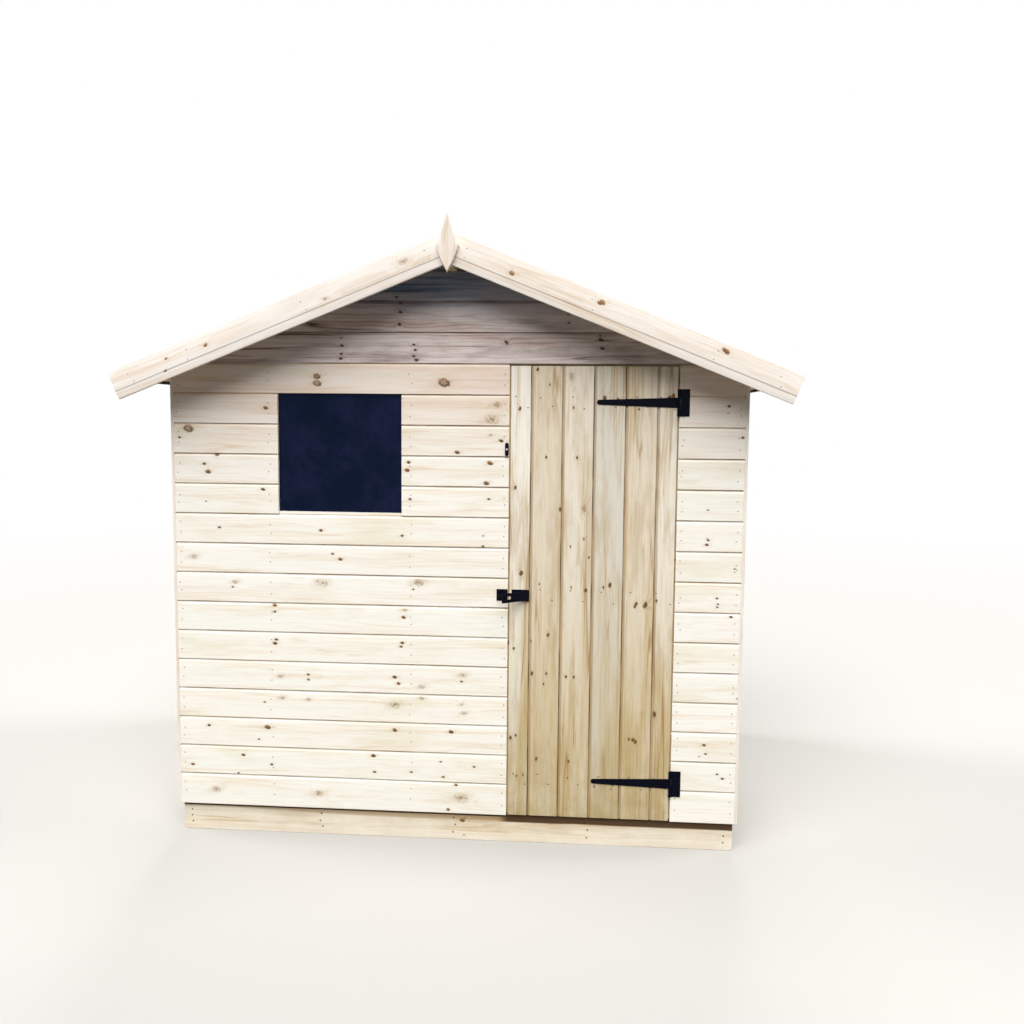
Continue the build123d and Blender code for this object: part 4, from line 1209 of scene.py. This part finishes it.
def makeNails():
    rng = np.random.default_rng(81)
    corner = halfWidth - nails["fromEnd"]
    paneLow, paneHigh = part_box("window_pane")
    windowStuds = (paneLow.x - nails["stud"] / 2, paneHigh.x + nails["stud"] / 2)
    columns = (-corner, *windowStuds, openingLeft - nails["fromEnd"])
    front, back = (0, -1, 0), (0, 1, 0)
    low, high = windowCourses
    rows = []
    for start, end in ((0, low), (high, courses), (low, high)):
        rows += nailRows(rng, columns, start, end, front)
    rows += nailRows(rng, (openingRight + nails["fromEnd"], corner), 0, courses, front)
    rows += nailRows(rng, np.linspace(-corner, corner, 4), 0, courses, back)
    gableTop = int((apexUnder - 0.06 - firstJoint) / shiplap["cover"])
    for course in range(courses, gableTop + 1):
        joint = firstJoint + course * shiplap["cover"]
        edge = (apexUnder - joint - nails["gableInset"]) / slope
        columns = (-edge, edge) if edge > 0.12 else (0.04,)
        for normal in (front, back):
            rows += nailRows(rng, columns, course, course + 1, normal)
    reach = innerDepth - nails["sideInset"] - nails["stud"] / 2
    for side in (-1, 1):
        rows += nailRows(rng, np.linspace(-reach, reach, 3), 0, courses, (side, 0, 0))
    # three nails through each rim into every joist
    rimRows, reach = [], innerWidth - nails["joistInset"]
    for x in np.linspace(-reach, reach, nails["joists"]):
        for z in nails["rimHeights"]:
            shift = rng.normal(0, 0.004, 2)
            rimRows.append((x + shift[0], -innerDepth, z + shift[1], *front))
            rimRows.append((x + shift[1], innerDepth, z + shift[0], *back))
    # bargeboards: pairs at the eaves, the purlins and near the ridge
    for frontSide in (-1, 1):
        for side in (-1, 1):
            for along in nails["bargePlaces"]:
                for above in nails["bargeHeights"]:
                    x, z = onSlope(side, along + rng.normal(0, 0.006), above)
                    rows.append((x, frontSide * (roofHalf + barge["thickness"]), z, 0, frontSide, 0))
    # corner strips
    for x in (-1, 1):
        for y in (-1, 1):
            for z in np.arange(*nails["stripHeights"]):
                spot = (x * (halfWidth + nails["stripOut"]), y * (halfDepth - nails["stripInset"]))
                rows.append((*spot, z + rng.normal(0, 0.01), x, 0, 0))
    domes("cladding_nails", rows, nails["radius"], nails["height"], zincNail)
    domes("rim_nails", rimRows, nails["rimRadius"], nails["height"], rustedNail)
    # door nails go into the three ledges, but not where the hasp is
    middles = [doorLow.x + door["edgeBoard"] + (n - 0.5) * door["cover"] for n in range(1, door["joints"])]
    middles = [doorLow.x + nails["doorEdge"], *middles, doorHigh.x - nails["doorEdge"]]
    haspLow, haspHigh = nails["haspHeights"]
    rows = []
    for ledge in door["ledges"]:
        for middle in middles:
            for across, up in nails["doorPair"]:
                shift = rng.normal(0, 0.003, 2)
                x, z = middle + across + shift[0], ledge + up + shift[1]
                if x > doorLow.x + nails["haspReach"] or not haspLow < z < haspHigh:
                    rows.append((x, doorLow.y, z, *front))
    domes("door_nails", rows, nails["radius"], nails["height"], rustedNail, "door")


makeNails()

# radius, height, body and sides of the screws in each fitting, and places from the fitting's own edges
screws = {
    "hinge_strap_screws": (0.0042, 0.0016, "door", 14),
    "hinge_plate_screws": (0.0042, 0.0016, "shed", 14),
    "hasp_plate_screws": (0.0034, 0.0013, "door", 12),
    "staple_screws": (0.003, 0.0012, "shed", 12),
}
screwPlaces = {
    "knuckle": 0.011, "strap": (0.035, 0.115, 0.195, 0.272), "strapStock": 0.0025,
    "plateMiddle": 0.017, "plate": ((-0.006, -0.038), (0.006, 0.0), (-0.006, 0.038)),
    "haspAcross": (0.011, 0.042), "haspUp": (-0.013, 0.013), "haspStock": 0.002, "staple": 0.007,
}


def makeScrews():
    # round-head screws in the black fittings, as (x, y, z)
    at, ledges = screwPlaces, (door["ledges"][0], door["ledges"][-1])
    strapLow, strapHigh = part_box("hinge_straps")
    end, y = strapHigh.x - at["knuckle"], strapLow.y + at["knuckle"] - at["strapStock"]
    places = [[(end - along, y, z) for z in ledges for along in at["strap"]]]
    middle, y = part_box("hinge_plates")[1].x - at["plateMiddle"], -halfDepth - at["strapStock"]
    places.append([(middle + across, y, z + up) for z in ledges for across, up in at["plate"]])
    low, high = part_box("hasp_plate")
    middle, y = (low.z + high.z) / 2, -halfDepth - at["haspStock"]
    places.append([(low.x + across, y, middle + up) for across in at["haspAcross"] for up in at["haspUp"]])
    low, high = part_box("hasp_staple")
    ends = [(a + at["staple"], b - at["staple"]) for a, b in ((low.x, high.x), (low.z, high.z))]
    places.append([(x, y, z) for x in ends[0] for z in ends[1]])
    for (name, (radius, height, body, sides)), rows in zip(screws.items(), places):
        rows = [(*row, 0, -1, 0) for row in rows]
        domes(name, rows, radius, height, japannedSteel, body, rings=4, sides=sides)


clouts = {"radius": 0.0048, "height": 0.0006, "lapInset": 0.02, "edgeInset": 0.025, "end": 0.86}


def makeClouts():
    # flat-headed nails along the laps, the gable edges and the drip of the felt
    rng = np.random.default_rng(82)
    top = roof["boardThickness"] + felt["thickness"]
    reach, lap, end = feltReach(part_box("roof_felt")[1]), felt["lapPlace"], clouts["end"]
    edges = (-roofHalf + clouts["edgeInset"], roofHalf - clouts["edgeInset"])
    spots = [(lap - clouts["lapInset"], y) for y in np.arange(-end, end + 0.01, 0.09)]
    spots += [(s, y) for s in np.arange(0.06, reach - 0.03, 0.1) for y in edges]
    rows = []
    for side in (-1, 1):
        down, out = slopeAxes(side)
        for s, y in spots:
            sunk = 0.0007 if s < lap else 0.002
            s, y = s + rng.normal(0, 0.003), y + rng.normal(0, 0.003)
            x, z = onSlope(side, s, top - sunk)
            rows.append((x, y, z, *out))
        x, z = onSlope(side, reach - 0.001, roof["boardThickness"] - 0.014)
        rows += [(x, y, z, *down) for y in np.arange(-end, end + 0.01, 0.12)]
    domes("felt_clouts", rows, clouts["radius"], clouts["height"], zincNail, slotName="felt", rings=2)


makeScrews()
makeClouts()
print("nails and screws made")

# Floor, lights, camera
studio = {
    "floorTone": "#B2B0AC", "floorBounce": "#5A5A58", "floorSize": 40.0, "fadeFrom": 3.5, "fadeTo": 12.0,
    "skyLight": 0.2, "skyTone": (0.93, 0.94, 1.0, 1.0), "white": (1, 1, 1, 1),
    # strength, height above the horizon, bearing and spread of each lamp; bearing 0 shines on the front
    "lamps": {
        "keyLight": (4.6, 53, -4, 60),
        "leftLight": (2.1, 24, -100, 24),
        "rightLight": (2.1, 24, 100, 24),
        "backLight": (2.1, 28, 180, 24),
    },
}


def seenRays(tree):
    # 1 for the camera's rays and for what gloss and glass show, 0 for light that lands on things
    rays = node(tree, "LightPath", {}).outputs
    camera, gloss, through = (Signal(rays[f"Is {kind} Ray"]) for kind in ("Camera", "Glossy", "Transmission"))
    return camera.top(gloss.top(through))


def makeFloor():
    size = studio["floorSize"]
    mesh = bpy.data.meshes.new("studio_floor")
    corners = [(-size, -size, 0), (size, -size, 0), (size, size, 0), (-size, size, 0)]
    mesh.from_pydata(corners, [], [(0, 1, 2, 3)])
    material = bpy.data.materials.new("studioFloor")
    tree, out = blankTree(material)
    seen = seenRays(tree)
    far = objectPlace(tree).length().smooth(studio["fadeFrom"], studio["fadeTo"]) * seen
    near = read(tree, "BsdfDiffuse", {"Color": seen.between(studio["floorBounce"], studio["floorTone"])})
    white = read(tree, "Emission", {"Color": studio["white"], "Strength": 1.0})
    fill(out, {0: read(tree, "MixShader", {0: far, 1: near, 2: white})})
    mesh.materials.append(material)
    floor = addObject("studio_floor", mesh)


def makeLights():
    world = bpy.data.worlds.new("studioSky")
    bpy.context.scene.world = world
    tree, out = blankTree(world, "OutputWorld")
    soft = read(tree, "Background", {"Color": studio["skyTone"], "Strength": studio["skyLight"]})
    white = read(tree, "Background", {"Color": studio["white"], "Strength": 1.0})
    fill(out, {0: read(tree, "MixShader", {0: seenRays(tree), 1: soft, 2: white})})
    for name, (strength, height, bearing, spread) in studio["lamps"].items():
        lamp = bpy.data.lights.new(name, "SUN")
        lamp.energy = strength
        lamp.angle = math.radians(spread)
        addObject(name, lamp).rotation_euler = (math.radians(90 - height), 0, math.radians(bearing))


# the place and turn that the photograph was taken from
camera = {
    "place": (0.5183, -4.5007, 1.6416), "turnLeft": 4.502, "tiltDown": 5.318, "roll": 0.518, "lens": 35.156,
    "sensor": 36.0,
}


def makeCamera():
    data = bpy.data.cameras.new("camera")
    data.lens = camera["lens"]
    data.sensor_width = camera["sensor"]
    data.sensor_fit = "HORIZONTAL"
    holder = addObject("camera", data)
    turn = Matrix.Rotation(math.radians(camera["turnLeft"]), 4, "Z")
    tilt = Matrix.Rotation(math.radians(90 - camera["tiltDown"]), 4, "X")
    roll = Matrix.Rotation(math.radians(camera["roll"]), 4, "Z")
    holder.matrix_world = Matrix.Translation(camera["place"]) @ turn @ tilt @ roll
    bpy.context.scene.camera = holder


makeFloor()
makeLights()
makeCamera()
bpy.context.scene.view_settings.view_transform = "Standard"
print("scene made")
